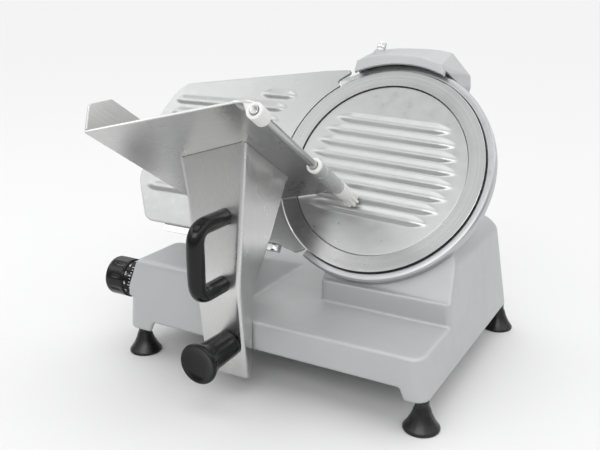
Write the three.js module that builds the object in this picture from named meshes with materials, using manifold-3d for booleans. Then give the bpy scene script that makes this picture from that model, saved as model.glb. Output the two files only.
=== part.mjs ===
// Gravity-feed meat slicer with a round motor-driven blade, in millimetres, +Z up.
// X runs along the travel of the carriage, to the right; Y runs to the back.
// The blade leans back, so its pieces are drawn in a plane of their own: there x runs to the
// right, y runs up the blade and z comes out of its cutting face, with the blade's edge at z = 0.
// The food tray is drawn in the same plane, turned about the blade's axis.
import * as THREE from "three";
import { mergeVertices } from "three/addons/utils/BufferGeometryUtils.js";
import Module from "manifold-3d";

const wasm = await Module();
wasm.setup();

// Fits shared by all pieces
const clearance = 0.3;
const overrun = 2;
const fineRound = 36;
const midRound = 18;
const smallRound = 10;
const cornerSteps = 3;

// Heights: the lugs stand on the feet, the platform on the lugs and the blade over the platform
const lugBottom = 36;
const baseDepth = 48.5;
const platformTop = lugBottom + baseDepth;
const bladeRise = 150;
const bladeCentreHeight = platformTop + bladeRise;

// Stance of the blade and the tray
const bladeLeanDeg = 32.73;
const trayTiltDeg = 15.4;

// Blade: the pieces around it take their radii from it
const bladeRadius = 125;
const bladeEdge = 0.5;
const bladeBandWidth = 19;
const bladeBandInner = bladeRadius - bladeBandWidth;
const bladeBandDrop = 0.8;
const bladeFloor = -7.4;
const bladeBack = -9.8;
const bladeBore = 22;

// Guard ring around the blade
const guardGap = 2;
const guardWidth = 8;
const guardInner = bladeRadius + guardGap;
const guardOuter = guardInner + guardWidth;
const guardFront = -4;
const guardWebInner = bladeBandInner + 1;
const guardWeb = 2;
const guardStartDeg = -119.5;
const guardEndDeg = 123;
const guardFootThickness = 9;
const guardFootShares = [
  [-0.486, 0.8953], [-0.5508, 0.9234], [-0.6318, 0.8608], [-0.6307, 0.8338], [-0.6059, 0.8122],
];

// Depth of the gauge plate below the blade's centre, with the bar that carries it
const gaugeDepth = 110.1;
const barLap = 5.1;
const barHeight = 13;
const barTop = barLap - gaugeDepth;
const barBottom = barTop - barHeight;

const deg = Math.PI / 180;
const lean = bladeLeanDeg * deg;

// Base casting, measured at the bottom of its lugs unless it says otherwise
const baseLeft = -261;
const baseRight = 127;
const baseFront = -155;
const baseRear = 158;
const skirtRise = 13.5;
const skirtBottom = lugBottom + skirtRise;
const castingWall = 4;
const leftLeanShare = 0.1;
const rightLeanShare = 0.13;
const rearLeanShare = 0.15;
const frontCornerRadius = 15;
const rearCornerRadius = 20;
const skirtLeftEnd = -219.5;
const skirtRightEnd = 97;
const lugSlant = 7;

// Raised left side of the casting, over the thickness mechanism
const lobeCreaseRise = 7.5;
const lobeCrease = platformTop + lobeCreaseRise;
const lobeDrop = 9.235;
const lobeTop = bladeCentreHeight + barBottom * Math.cos(lean) - lobeDrop;
const lobeFrontLean = 4;
const lobeLeftLean = 8;
const lobeRightTop = -150;
const lobeRightFoot = -113;
const lobeBackTop = -76;
const lobeBackFoot = 34;
const lobeRound = 5;
const lobeCornerRadius = 4;

// Round head behind the blade and its bearing boss
const headFace = -15.7;
const headInset = 9;
const headRadius = bladeRadius - headInset;
const headSkirt = -45;
const headTaper = 21;
const headBackRadius = headRadius - headTaper;
const headBack = -60;
const pocketWall = 13;
const pocketRadius = headRadius - pocketWall;
const pocketFloor = -44;
const motorWall = 8;
const bossRadius = 28;
const bossBack = -84;
const bossKeepRadius = 33;
const scoopRadius = 29;

// Right side of the casting, over the motor
const housingLeft = -39;
const housingFront = -67;
const housingLap = 48.5;
const housingTop = bladeCentreHeight - headRadius + housingLap;
const housingRoundHeight = 25;
const housingShoulder = housingTop - housingRoundHeight;
const ledgeDrop = 9.93;
const ledgeHeight = bladeCentreHeight - guardOuter * Math.cos(lean) - ledgeDrop;
const housingRoundShares = [[0, 0], [0.44, 0.2], [0.76, 0.48], [1, 1]];
const housingFrontRadius = 6;

// Feet
const footLeft = -249;
const footRight = 117.3;
const footFront = -136.9;
const footRear = 146.6;
const footRadius = 20;
const footRim = 3;
const footNeckRadius = 7;
const footNeck = 24;
const footStudRadius = 4;
const footStud = 12;
const footBossRadius = 11;

// Bottom cover
const coverRise = 4;
const coverHeight = lugBottom + coverRise;
const coverThickness = 2;
const coverFront = -78;
const ventWidth = 4;
const ventLength = 40;
const ventPitch = 12;
const ventCount = 5;

// Blade pulley, shaft and bearings
const shaftRadius = 10;
const shaftBore = 5;
const pulleyMargin = 33;
const pulleyRadius = pocketRadius - pulleyMargin;
const pulleyFront = -18;
const pulleyWidth = 20;
const pulleyRim = 6;
const pulleyWeb = 4;
const pulleySeatRadius = 45;
const pulleySeat = 4;
const bearingRadius = 20;
const bearingWidth = 11;
const bearingFront = -46;
const bearingRear = -71;

// Cover plate over the blade, its tie rod and its knob at the back
const plateGap = 1.1;
const plateRadius = bladeBandInner - plateGap;
const plateFace = -3;
const plateThickness = 3.5;
const plateRibRadius = 5.6;
const plateRibHeight = 1.6;
const plateRibPitch = 16;
const plateRibTop = 57.5;
const plateRibCount = 8;
const plateRibInset = 12.9;
const plateRibEndRadius = plateRadius - plateRibInset;
const plateRibTurnDeg = -2.7;
const tieRodRadius = 4;
const tieRodBack = -101;
const lockKnobFlangeRadius = 25;
const lockKnobFlange = 4;
const lockKnobRadius = 17;
const lockKnobLength = 22;

// Motor
const motorX = 40;
const motorInset = 32;
const motorDown = motorInset - headRadius;
const motorRadius = 37;
const motorNeckRadius = 25;
const motorNeck = 14;
const motorLength = 68;
const motorShaftRadius = 6;
const pinionRadius = 15;
const motorSocket = 22;
const beltThickness = 3;
const beltWidth = 16;

// Sharpener on top of the head, drawn in shares of the blade's radius
const sharpenerFront = 10;
const sharpenerRear = -36;
const sharpenerWall = 3;
const sharpenerFrontShares = [
  [-0.444, 0.8], [-0.47, 0.944], [-0.471, 1.046], [-0.355, 1.09], [-0.21, 1.121], [-0.047, 1.13],
  [0.17, 1.11], [0.392, 1.05], [0.424, 0.976], [0.44, 0.864], [0.4, 0.784],
];
const sharpenerRearShares = [
  [-0.48, 0.8], [-0.508, 1.08], [-0.506, 1.34], [-0.42, 1.372], [-0.236, 1.395], [0.044, 1.401],
  [0.2, 1.392], [0.336, 1.37], [0.57, 1.133], [0.604, 1], [0.576, 0.84],
];
const sharpenerApronGap = 4.6;
const sharpenerApron = bladeRadius + sharpenerApronGap;
const sharpenerCentreShare = 0.8;
const sharpenerApronBack = 5;
const postRadius = 5;
const postCentre = -24;
const postFootWidth = 22;
const postFootDepth = 14;
const postFoot = 23;
const postTopShare = 1.285;
const postTop = bladeRadius * postTopShare;
const postSleeveRadius = 8;
const stoneRadius = 7.5;
const stoneThickness = 5;
const stoneOffset = 20.5;
const stoneHeightShare = 1.15;
const stoneHeight = bladeRadius * stoneHeightShare;
const grindStoneBack = -20;
const honeStoneBack = -20;
const stoneShaftRadius = 3;
const stoneButtonRadius = 7;
const stoneButtonLength = 9;
const stoneButtonStem = 5;
const stoneTravel = 3;
const lockScrewX = -40;
const lockScrewDepth = -8;
const lockScrewSeatShare = 1.224;
const lockScrewSeat = bladeRadius * lockScrewSeatShare;
const lockScrewSeatRadius = 7.5;
const lockScrewRadius = 5.5;
const lockScrewHead = 13;
const lockScrewStudRadius = 2.5;
const lockScrewStud = 14;

// Gauge plate: its left end in shares of its reach and its depth, its right end in shares of the
// blade's radius
const gaugeReach = 339.5;
const gaugeThickness = 5;
const gaugeRightShares = [
  [-0.5543, 0.9832], [-0.544, 0.9495], [-0.6513, 0.8656], [-0.6521, 0.836], [-0.6119, 0.801],
  [-0.2716, 0.5432], [-0.2716, -0.679], [-0.5, -0.8697], [-0.604, -0.9297],
];
const gaugeLeftShares = [
  [-0.2987, -1], [-0.8816, -0.9944], [-0.9072, -0.9538], [-0.9708, -0.6223], [-0.9935, -0.486],
  [-1, 0.2997], [-0.9853, 0.4388], [-0.9564, 0.625], [-0.9396, 0.7176], [-0.9102, 0.7922],
  [-0.8878, 0.8147], [-0.2981, 1.0891],
];
const gaugeArcRadius = bladeRadius + guardGap;
const gaugeTravel = 12;
const gaugeRibRadius = 6;
const gaugeRibHeight = 1.6;
const gaugeRibTop = 82;
const gaugeRibPitch = 18;
const gaugeRibCount = 9;
const gaugeRibInset = 28;
const gaugeRibEndRadius = gaugeArcRadius + gaugeRibInset;
const gaugeRibStart = 322;
const gaugeTopRibStart = 188;

// Gauge support bar, its bracket and its bolts
const barLeft = -276;
const barRight = -102;
const barThickness = 8;
const bracketX = -165;
const bracketWidth = 22;
const bracketDepth = 12;
const boltRadius = 3.7;
const boltHead = 4;
const boltShankRadius = 2.5;
const boltShank = 5;
const boltPitch = 12;
const boltInset = 8;

// Gauge slide and its rod, inside the raised left side
const slideRodRadius = 6;
const slideRodShare = 1.1267;
const slideRodHeight = -bladeRise * slideRodShare;
const slideRodFront = 21;
const slideRodBack = -50;
const slideBlockFront = 2.3;
const slideBlockLength = 24;
const slideBlockHalf = 11;
const slideSupportWidth = 16;
const slideSupportDepth = 7;
const slideSlotSpare = 3;

// Thickness knob, its shaft and its cam
const knobY = -125;
const knobRise = 3.5;
const knobZ = platformTop + knobRise;
const knobRadius = 24;
const knobDialRadius = 22;
const knobDialWidth = 12;
const knobOuterX = -299;
const knobFluteRadius = 4;
const knobFluteCount = 10;
const knobShaftRadius = 5;
const knobShaftInner = -169;
const camLeft = -187;
const camWidth = 8;
const camLow = 10;
const camTurnDeg = 300;
const camDwellDeg = 45;
const camDropDeg = 50;
const camSteps = 24;
const camPlay = 0.6;
const camPadHalf = 3.5;
const camPadDepth = 5;
const shaftSupportWidth = 7;
const shaftSupportWall = 3.4;

// Switch and cord inlet on the left wall
const switchY = -36;
const switchRise = 36;
const switchZ = lugBottom + switchRise;
const switchWidth = 44;
const switchHeight = 26;
const switchPlate = 3;
const switchBodyWidth = 36;
const switchBodyHeight = 19;
const switchDepth = 22;
const switchButtonRadius = 6;
const switchButtonOffset = 9;
const switchButtonRise = 5;
const switchButtonTravel = 3;
const switchButtonStem = 8;
const inletY = 92;
const inletRise = 26;
const inletZ = lugBottom + inletRise;
const inletRadius = 9;
const inletLength = 12;
const inletBoreRadius = 4;
const inletNeckRadius = 6;

// Guide rod and rail of the carriage
const guideY = -112;
const guideRise = 14;
const guideZ = lugBottom + guideRise;
const guideRadius = 8;
const guideEnd = 0.5;
const guideBoss = 14;
const guideBossHalf = 13;
const railY = -89;
const railThickness = 4;
const railRise = 10;
const railBottom = lugBottom + railRise;
const railHeight = 16;

// Carriage slide
const slideLeft = -114;
const slideRight = -86;
const slidePlate = 4;
const slideLift = 1;
const slideBottom = lugBottom + slideLift;
const slideRearY = -84;
const slideBushRadius = 11;
const slideBushLength = 10;
const slideBlockWall = 3;
const slideUprightHeight = 37;
const slideUprightTop = slideBottom + slideUprightHeight;
const slideUprightRight = -79.5;
const slideRunGap = 3.3;
const shoeHalf = 8;

// Carriage arm, a folded plate
const armFoldX = -75.3;
const armWidth = 80.2;
const armDrop = 15;
const armBottom = lugBottom - armDrop;
const armReach = 52.5;
const armHeight = bladeCentreHeight + armReach - armBottom;
const armThickness = 3;
const armKneeY = -182.4;
const armKneeRise = 110;
const armKneeZ = armBottom + armKneeRise;
const armTopY = -164;
const armFootY = -170.5;
const armFlangeDepth = 105.8;
const armEdgeShares = [
  [1.128, 1.0489], [1, 0.9023], [0.8815, 0.7669], [0.8192, 0.6692], [0.6758, 0.2857],
  [0.6796, 0.1617], [0.6234, 0],
];
const armFlangeShares = [
  [1, 0.8421], [1, 0.788], [0.9442, 0.7744], [0.6276, 0.5714], [0.4669, 0.4812], [0.2401, 0.3523],
  [0.2278, 0.3271], [0.2278, 0.0113], [0.1834, 0],
];

// Carriage handle and its bolts
const handleX = -97;
const handleGripY = -225;
const handleRadius = 9.5;
const handleRise = 2;
const handleSpan = 73;
const handleBottomZ = armKneeZ + handleRise;
const handleTopZ = handleBottomZ + handleSpan;
const handleBend = 16;
const handleSteps = 20;
const handleBoltRadius = 3;
const handleBoltLength = 12;
const handleBoltHeadRadius = 5.5;
const handleBoltHead = 4;

// Clamp knob of the carriage
const clampX = -94.5;
const clampRise = 25;
const clampZ = slideBottom + clampRise;
const clampFrontY = -233.4;
const clampRootY = -176.4;
const clampFlareRadius = 22.5;
const clampNeckRadius = 15.5;
const clampNeckBevel = 4;
const clampFlare = 8;
const clampFluteRadius = 4;
const clampFluteCount = 8;
const clampStudRadius = 5;
const clampStudInKnob = 24;
const clampStudBack = -160;

// Food tray and its fence, in the turned plane
const trayLeft = -226;
const trayRight = -44;
const trayUnder = -23;
const trayThickness = 3;
const trayNear = 2;
const trayFar = 242;
const trayRibRadius = 4;
const trayRibHeight = 1.5;
const trayRibPitch = 22;
const trayRibCount = 6;
const trayRibInset = 25;
const fenceThickness = 3;
const fenceTop = 30;
const fenceShoulder = 9;
const fenceChamfer = 32;

// Pusher rod with its lugs, knob and sleeve, in the turned plane
const rodX = -30.4;
const rodDown = -37.4;
const rodRadius = 4.5;
const rodTop = 249.5;
const rodFoot = 12.5;
const lugRadius = 8.5;
const lugLength = 18;
const upperLugTop = 248;
const lowerLugTop = 48;
const lugFoot = 14;
const lugFootThickness = 4;
const endKnobFoot = 2.5;
const endKnobRadius = 9;
const endKnobNeckRadius = 6.8;
const endKnobFluteRadius = 2;
const endKnobFluteCount = 8;
const sleeveRadius = 8.25;
const sleeveLength = 67;

// Shapes

function translated(geometry, x, y, z) {
  return geometry.clone().translate(x, y, z);
}

function box(x0, x1, y0, y1, z0, z1) {
  const geometry = new THREE.BoxGeometry(x1 - x0, y1 - y0, z1 - z0);
  return geometry.translate((x0 + x1) / 2, (y0 + y1) / 2, (z0 + z1) / 2);
}

function rod(radius, z0, z1, segments) {
  const geometry = new THREE.CylinderGeometry(radius, radius, z1 - z0, segments);
  return geometry.rotateX(Math.PI / 2).translate(0, 0, (z0 + z1) / 2);
}

function turned(profile, segments) {
  const points = profile.map(([r, z]) => new THREE.Vector2(r, z));
  return new THREE.LatheGeometry(points, segments).rotateX(Math.PI / 2);
}

function turnedRing(profile, segments) {
  return turned([...profile, profile[0]], segments);
}

function shapeOf(outline) {
  return new THREE.Shape(outline.map(([x, y]) => new THREE.Vector2(x, y)));
}

function prism(outline, z0, z1) {
  const geometry = new THREE.ExtrudeGeometry(shapeOf(outline), { depth: z1 - z0, bevelEnabled: false });
  return geometry.translate(0, 0, z0);
}

// Turns what was drawn along z so that it lies along X, with its x along Y and its y along Z
function alongX(geometry) {
  const turn = new THREE.Matrix4().set(0, 0, 1, 0, 1, 0, 0, 0, 0, 1, 0, 0, 0, 0, 0, 1);
  return geometry.clone().applyMatrix4(turn);
}

// Turns what was drawn along z so that it lies along -Y, with its y along Z
function alongMinusY(geometry) {
  return geometry.clone().rotateX(Math.PI / 2);
}

// Joins level outlines with the same number of points into one closed body
function loft(levels) {
  const count = levels[0].outline.length;
  const positions = levels.flatMap(({ z, outline }) => outline.flatMap(([x, y]) => [x, y, z]));
  const index = [];
  for (let level = 0; level + 1 < levels.length; level += 1) {
    for (let i = 0; i < count; i += 1) {
      const a = level * count + i;
      const b = level * count + ((i + 1) % count);
      index.push(a, b, b + count, a, b + count, a + count);
    }
  }
  const last = (levels.length - 1) * count;
  for (let i = 1; i + 1 < count; i += 1) {
    index.push(0, i + 1, i);
    index.push(last, last + i, last + i + 1);
  }
  const geometry = new THREE.BufferGeometry();
  geometry.setAttribute("position", new THREE.Float32BufferAttribute(positions, 3));
  geometry.setIndex(index);
  return geometry;
}

function arcPoints(x, y, radius, fromDeg, toDeg, steps) {
  const points = [];
  for (let i = 0; i <= steps; i += 1) {
    const angle = (fromDeg + ((toDeg - fromDeg) * i) / steps) * deg;
    points.push([x + radius * Math.cos(angle), y + radius * Math.sin(angle)]);
  }
  return points;
}

function roundedRect(x0, x1, y0, y1, frontRadius, rearRadius) {
  return [
    ...arcPoints(x1 - frontRadius, y0 + frontRadius, frontRadius, -90, 0, cornerSteps),
    ...arcPoints(x1 - rearRadius, y1 - rearRadius, rearRadius, 0, 90, cornerSteps),
    ...arcPoints(x0 + rearRadius, y1 - rearRadius, rearRadius, 90, 180, cornerSteps),
    ...arcPoints(x0 + frontRadius, y0 + frontRadius, frontRadius, 180, 270, cornerSteps),
  ];
}

function scaled(shares, size) {
  return shares.map(([x, y]) => [x * size, y * size]);
}

function signedVolume(positions, index) {
  const a = new THREE.Vector3();
  const b = new THREE.Vector3();
  const c = new THREE.Vector3();
  let sum = 0;
  for (let i = 0; i < index.length; i += 3) {
    a.fromArray(positions, 3 * index[i]);
    b.fromArray(positions, 3 * index[i + 1]);
    c.fromArray(positions, 3 * index[i + 2]);
    sum += a.dot(b.cross(c));
  }
  return sum;
}

// Merges shared corners, drops triangles that have closed up and faces the rest outwards
function closed(geometry) {
  const bare = geometry.clone();
  bare.deleteAttribute("normal");
  bare.deleteAttribute("uv");
  const merged = mergeVertices(bare);
  const old = merged.index.array;
  const index = [];
  for (let i = 0; i < old.length; i += 3) {
    const [a, b, c] = [old[i], old[i + 1], old[i + 2]];
    if (a !== b && b !== c && c !== a) {
      index.push(a, b, c);
    }
  }
  if (signedVolume(merged.attributes.position.array, index) < 0) {
    index.reverse();
  }
  merged.setIndex(index);
  return merged;
}

// Solids: joins and cuts

function solid(shape) {
  if (!(shape instanceof THREE.BufferGeometry)) {
    return shape;
  }
  const merged = closed(shape);
  const vertProperties = new Float32Array(merged.attributes.position.array);
  const triVerts = new Uint32Array(merged.index.array);
  return new wasm.Manifold(new wasm.Mesh({ numProp: 3, vertProperties, triVerts }));
}

function join(first, ...others) {
  return others.reduce((sum, other) => sum.add(solid(other)), solid(first));
}

function cut(body, ...tools) {
  return tools.reduce((rest, tool) => rest.subtract(solid(tool)), solid(body));
}

function common(first, second) {
  return solid(first).intersect(solid(second));
}

function geometryOf(shape) {
  if (shape instanceof THREE.BufferGeometry) {
    return closed(shape);
  }
  const mesh = shape.getMesh();
  const geometry = new THREE.BufferGeometry();
  geometry.setAttribute("position", new THREE.BufferAttribute(new Float32Array(mesh.vertProperties), 3));
  geometry.setIndex(new THREE.BufferAttribute(new Uint32Array(mesh.triVerts), 1));
  return geometry;
}

// Cuts a ring of round grooves along z into a grip
function fluted(body, count, grooveRadius, pitchRadius, z0, z1) {
  const grooves = [];
  for (let i = 0; i < count; i += 1) {
    const angle = (2 * Math.PI * i) / count;
    const groove = rod(grooveRadius, z0, z1, smallRound);
    grooves.push(translated(groove, pitchRadius * Math.cos(angle), pitchRadius * Math.sin(angle), 0));
  }
  return cut(body, ...grooves);
}

// Scene graph

const object = new THREE.Group();
const machine = new THREE.Group();
object.add(machine);

const bladePlane = new THREE.Group();
bladePlane.position.set(0, 0, bladeCentreHeight);
bladePlane.rotation.x = Math.PI / 2 - lean;
machine.add(bladePlane);

const trayPlane = new THREE.Group();
trayPlane.rotation.z = trayTiltDeg * deg;
bladePlane.add(trayPlane);

machine.updateMatrixWorld(true);
const bladeMatrix = bladePlane.matrixWorld.clone();
const trayMatrix = trayPlane.matrixWorld.clone();

// Carries a shape drawn in the blade's plane into the machine's frame
function fromBladePlane(geometry) {
  return geometry.clone().applyMatrix4(bladeMatrix);
}

// Height and depth in the blade's plane of a point of the machine's frame
function inBladePlane(y, z) {
  const point = new THREE.Vector3(0, y, z).applyMatrix4(bladeMatrix.clone().invert());
  return { up: point.y, out: point.z };
}

function material(color, roughness, metalness) {
  return new THREE.MeshStandardMaterial({ color, roughness, metalness });
}

const painted = () => material(0xb4b5b6, 0.5, 0.2);
const castAluminium = () => material(0xcacbcc, 0.45, 0.6);
const brushed = () => material(0xb8b8b6, 0.35, 0.9);
const steel = () => material(0xc8cacc, 0.22, 0.95);
const black = () => material(0x1a1b1d, 0.25, 0);
const rubber = () => material(0x202123, 0.8, 0);
const pale = () => material(0xd8d8d4, 0.5, 0);
const stone = () => material(0x9a8f80, 0.9, 0);
const green = () => material(0x2f8a4a, 0.4, 0);
const red = () => material(0xb3282a, 0.4, 0);

function piece(name, shape, look, parent) {
  const mesh = new THREE.Mesh(geometryOf(shape), look);
  mesh.name = name;
  parent.add(mesh);
  return mesh;
}

// Base casting

function leftWall(z) {
  return baseLeft + leftLeanShare * (z - lugBottom);
}

function rightWall(z) {
  return baseRight - rightLeanShare * (z - lugBottom);
}

function rearWall(z) {
  return baseRear - rearLeanShare * (z - lugBottom);
}

function trayLevel(z, inset) {
  const outline = roundedRect(
    leftWall(z) + inset, rightWall(z) - inset, baseFront + inset, rearWall(z) - inset,
    frontCornerRadius - inset, rearCornerRadius - inset,
  );
  return { z, outline };
}

function lobeLevel(z, inset, round) {
  const rise = Math.max(z - lobeCrease, 0) / (lobeTop - lobeCrease);
  const full = (z - platformTop) / (lobeTop - platformTop);
  const x0 = leftWall(z) + lobeLeftLean * rise + inset + round;
  const x1 = lobeRightFoot + (lobeRightTop - lobeRightFoot) * full - inset - round;
  const y0 = baseFront + lobeFrontLean * rise + inset + round;
  const y1 = lobeBackFoot + (lobeBackTop - lobeBackFoot) * full - inset - round;
  return { z, outline: roundedRect(x0, x1, y0, y1, lobeCornerRadius, lobeCornerRadius) };
}

function lobe(inset) {
  const foot = platformTop - castingWall - overrun;
  const top = lobeTop - inset;
  return loft([
    lobeLevel(foot, inset, 0),
    lobeLevel(lobeCrease, inset, 0),
    lobeLevel(top - lobeRound, inset, 0),
    lobeLevel(top, inset, lobeRound - inset * (lobeRound / (lobeRound + castingWall))),
  ]);
}

function housingLevel(z, inset, round) {
  const outline = roundedRect(
    housingLeft + inset + round, rightWall(z) - inset - round,
    housingFront + inset, rearWall(z) - inset - round,
    housingFrontRadius, rearCornerRadius - inset,
  );
  return { z, outline };
}

function housing(inset) {
  const foot = platformTop - castingWall - overrun;
  const rounded = housingTop - housingShoulder;
  const levels = housingRoundShares.map(([riseShare, inShare]) => {
    const z = housingShoulder + rounded * riseShare - inset * riseShare;
    return housingLevel(z, inset, rounded * inShare);
  });
  return loft([housingLevel(foot, inset, 0), ...levels]);
}

const far = 3 * bladeRadius;
const faceAtLedge = inBladePlane(0, ledgeHeight);
const faceSlope = Math.tan(lean);
const ledgeY = (faceAtLedge.out - headFace) / Math.cos(lean);
const frontTool = alongX(prism(
  [
    [ledgeY, ledgeHeight], [ledgeY + far * faceSlope, ledgeHeight + far],
    [-far, ledgeHeight + far], [-far, ledgeHeight],
  ],
  housingLeft - overrun, baseRight + overrun,
));

const headShape = turned(
  [[0, headFace], [headRadius, headFace], [headRadius, headSkirt], [headBackRadius, headBack],
    [bossRadius, headBack], [bossRadius, bossBack], [0, bossBack]],
  fineRound,
);
const outerShell = join(
  loft([trayLevel(lugBottom, 0), trayLevel(platformTop, 0)]),
  lobe(0),
  cut(housing(0), frontTool),
  fromBladePlane(headShape),
);

const motorWallBack = pocketFloor - motorWall;
const behindWall = fromBladePlane(box(-far, far, -far, far, -far, motorWallBack));
const bossKeep = fromBladePlane(rod(bossKeepRadius, -far, far, midRound));
const innerHousing = cut(common(housing(castingWall), behindWall), bossKeep);
const innerTray = loft([
  trayLevel(lugBottom - overrun, castingWall), trayLevel(platformTop - castingWall, castingWall),
]);

const skirtCut = alongMinusY(prism(
  [
    [skirtLeftEnd - lugSlant, lugBottom - overrun], [skirtRightEnd + lugSlant, lugBottom - overrun],
    [skirtRightEnd, skirtBottom], [skirtLeftEnd, skirtBottom],
  ],
  -baseFront - castingWall - overrun, -baseFront + overrun,
));

const pocket = join(
  rod(pocketRadius, pocketFloor, headFace + overrun, fineRound),
  translated(rod(pinionRadius + beltThickness + castingWall, pocketFloor, headFace + overrun, midRound),
    motorX, motorDown, 0),
);

const knobPoint = inBladePlane(knobY, knobZ);
const camHigh = camLow + gaugeTravel;

// Webs that carry the gauge's slide rod, hung from the roof of the raised left side
function slideSupport(front) {
  return fromBladePlane(box(
    bracketX - slideSupportWidth / 2, bracketX + slideSupportWidth / 2,
    slideRodHeight - slideBlockHalf, slideRodHeight - slideBlockHalf + lobeTop,
    front - slideSupportDepth, front,
  ));
}

const slideRodBore = fromBladePlane(translated(
  rod(slideRodRadius + clearance, slideRodBack - overrun, slideRodFront + overrun, smallRound),
  bracketX, slideRodHeight, 0,
));
const bracketSlot = fromBladePlane(box(
  bracketX - bracketWidth / 2 - slideSlotSpare, bracketX + bracketWidth / 2 + slideSlotSpare,
  slideRodHeight + slideBlockHalf, barBottom + slideBlockHalf,
  -barThickness - gaugeThickness - bracketDepth / 2 - gaugeTravel - slideSlotSpare,
  slideSlotSpare - gaugeThickness,
));
const shaftSupportHalf = knobShaftRadius + clearance + shaftSupportWall;
const shaftSupport = box(
  knobShaftInner - shaftSupportWidth, knobShaftInner,
  baseFront + castingWall / 2, knobY + shaftSupportHalf,
  knobZ - shaftSupportHalf, knobZ + shaftSupportHalf,
);
const knobShaftBore = translated(
  alongX(rod(knobShaftRadius + clearance, baseLeft - overrun, knobShaftInner + overrun, smallRound)),
  0, knobY, knobZ,
);

// Blocks inside the end walls that hold the guide rod and the rail
const guideBlockRear = railY + railThickness / 2 + castingWall;
const guideBlockTop = Math.max(guideZ + guideBossHalf, railBottom + railHeight + castingWall);
function guideBlock(x0, x1) {
  return box(x0, x1, guideY - guideBossHalf, guideBlockRear, guideZ - guideBossHalf + clearance,
    guideBlockTop);
}
const guideLeftWall = leftWall(guideZ) + castingWall;
const guideRightWall = rightWall(guideZ) - castingWall;
const guideBlocks = join(
  guideBlock(guideLeftWall - castingWall / 2, guideLeftWall + guideBoss),
  guideBlock(guideRightWall - guideBoss, guideRightWall + castingWall / 2),
);
const guideBore = translated(
  alongX(rod(guideRadius + clearance, guideLeftWall + guideEnd, guideRightWall - guideEnd, midRound)),
  0, guideY, guideZ,
);
const railSlot = box(
  guideLeftWall + guideEnd, guideRightWall - guideEnd,
  railY - railThickness / 2 - clearance, railY + railThickness / 2 + clearance,
  railBottom - clearance, railBottom + railHeight + clearance,
);

const footPlaces = [
  ["foot_front_left", footLeft, footFront],
  ["foot_front_right", footRight, footFront],
  ["foot_rear_left", footLeft, footRear],
  ["foot_rear_right", footRight, footRear],
];
const footBosses = footPlaces.map(([, x, y]) => common(
  translated(rod(footBossRadius, lugBottom, platformTop, smallRound), x, y, 0), outerShell,
));
const footHoles = footPlaces.map(([, x, y]) => translated(
  rod(footStudRadius + clearance, lugBottom - overrun, lugBottom + footStud + clearance, smallRound), x, y, 0,
));

// The panel group lies on the leaning left wall, with its z axis pointing out of the wall
const wallLean = Math.atan(leftLeanShare);
function wallPanel(y, z) {
  const panel = new THREE.Group();
  panel.position.set(leftWall(z), y, z);
  panel.rotation.y = wallLean - Math.PI / 2;
  machine.add(panel);
  panel.updateMatrixWorld(true);
  return panel;
}
const switchPanel = wallPanel(switchY, switchZ);
const inletPanel = wallPanel(inletY, inletZ);
const switchHole = box(
  -switchBodyHeight / 2 - clearance, switchBodyHeight / 2 + clearance,
  -switchBodyWidth / 2 - clearance, switchBodyWidth / 2 + clearance,
  -castingWall - overrun, overrun,
).applyMatrix4(switchPanel.matrixWorld);
const inletHole = rod(inletNeckRadius + clearance, -castingWall - overrun, overrun, midRound)
  .applyMatrix4(inletPanel.matrixWorld);

const webs = common(
  join(slideSupport(slideRodFront), slideSupport(slideRodBack + slideSupportDepth), shaftSupport),
  outerShell,
);
const hollowed = cut(outerShell, innerTray, lobe(castingWall), innerHousing);
const casting = cut(
  join(hollowed, webs, guideBlocks, ...footBosses),
  skirtCut,
  fromBladePlane(rod(scoopRadius, -far, bossBack - clearance, midRound)),
  slideRodBore,
  bracketSlot,
  knobShaftBore,
  guideBore,
  railSlot,
  ...footHoles,
  switchHole,
  inletHole,
);
const pocketed = cut(
  casting,
  solid(pocket).transform(bladeMatrix.toArray()),
  fromBladePlane(rod(bearingRadius + clearance, bossBack - overrun, pocketFloor + overrun, midRound)),
  fromBladePlane(translated(
    rod(motorShaftRadius + castingWall, motorWallBack - overrun, pocketFloor + overrun, midRound),
    motorX, motorDown, 0,
  )),
);
piece("base_casting", pocketed, painted(), machine);

// Bottom cover: closes the underside behind the carriage's guide
const coverOutline = common(
  loft([trayLevel(coverHeight, castingWall + clearance),
    trayLevel(coverHeight + coverThickness, castingWall + clearance)]),
  box(baseLeft, baseRight, coverFront, baseRear, coverHeight - overrun, coverHeight + coverThickness + overrun),
);
const footClear = footPlaces.map(([, x, y]) => translated(
  rod(footBossRadius + clearance, coverHeight - overrun, coverHeight + coverThickness + overrun, smallRound),
  x, y, 0,
));
const vents = [];
for (let i = 0; i < ventCount; i += 1) {
  const x = motorX + (i - (ventCount - 1) / 2) * ventPitch;
  vents.push(box(x - ventWidth / 2, x + ventWidth / 2, motorX, motorX + ventLength,
    coverHeight - overrun, coverHeight + coverThickness + overrun));
}
piece("bottom_cover", cut(coverOutline, ...footClear, ...vents), painted(), machine);

// Feet
for (const [name, x, y] of footPlaces) {
  const seat = lugBottom - clearance;
  const foot = turned(
    [[0, 0], [footRadius, 0], [footRadius, footRim], [footNeckRadius + footRim, footNeck],
      [footNeckRadius, footNeck + footRim], [footNeckRadius, seat], [footStudRadius, seat],
      [footStudRadius, lugBottom + footStud], [0, lugBottom + footStud]],
    midRound,
  );
  piece(name, foot, rubber(), machine).position.set(x, y, 0);
}

// Blade, pulley and shaft, which turn together
const blade = turnedRing(
  [[bladeBore, bladeFloor], [bladeBandInner, bladeFloor], [bladeBandInner, -bladeBandDrop],
    [bladeRadius, 0], [bladeRadius, -bladeEdge], [bladeBandInner - bladeEdge, bladeBack],
    [bladeBore, bladeBack]],
  fineRound + midRound,
);
piece("blade", blade, steel(), bladePlane);

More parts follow.
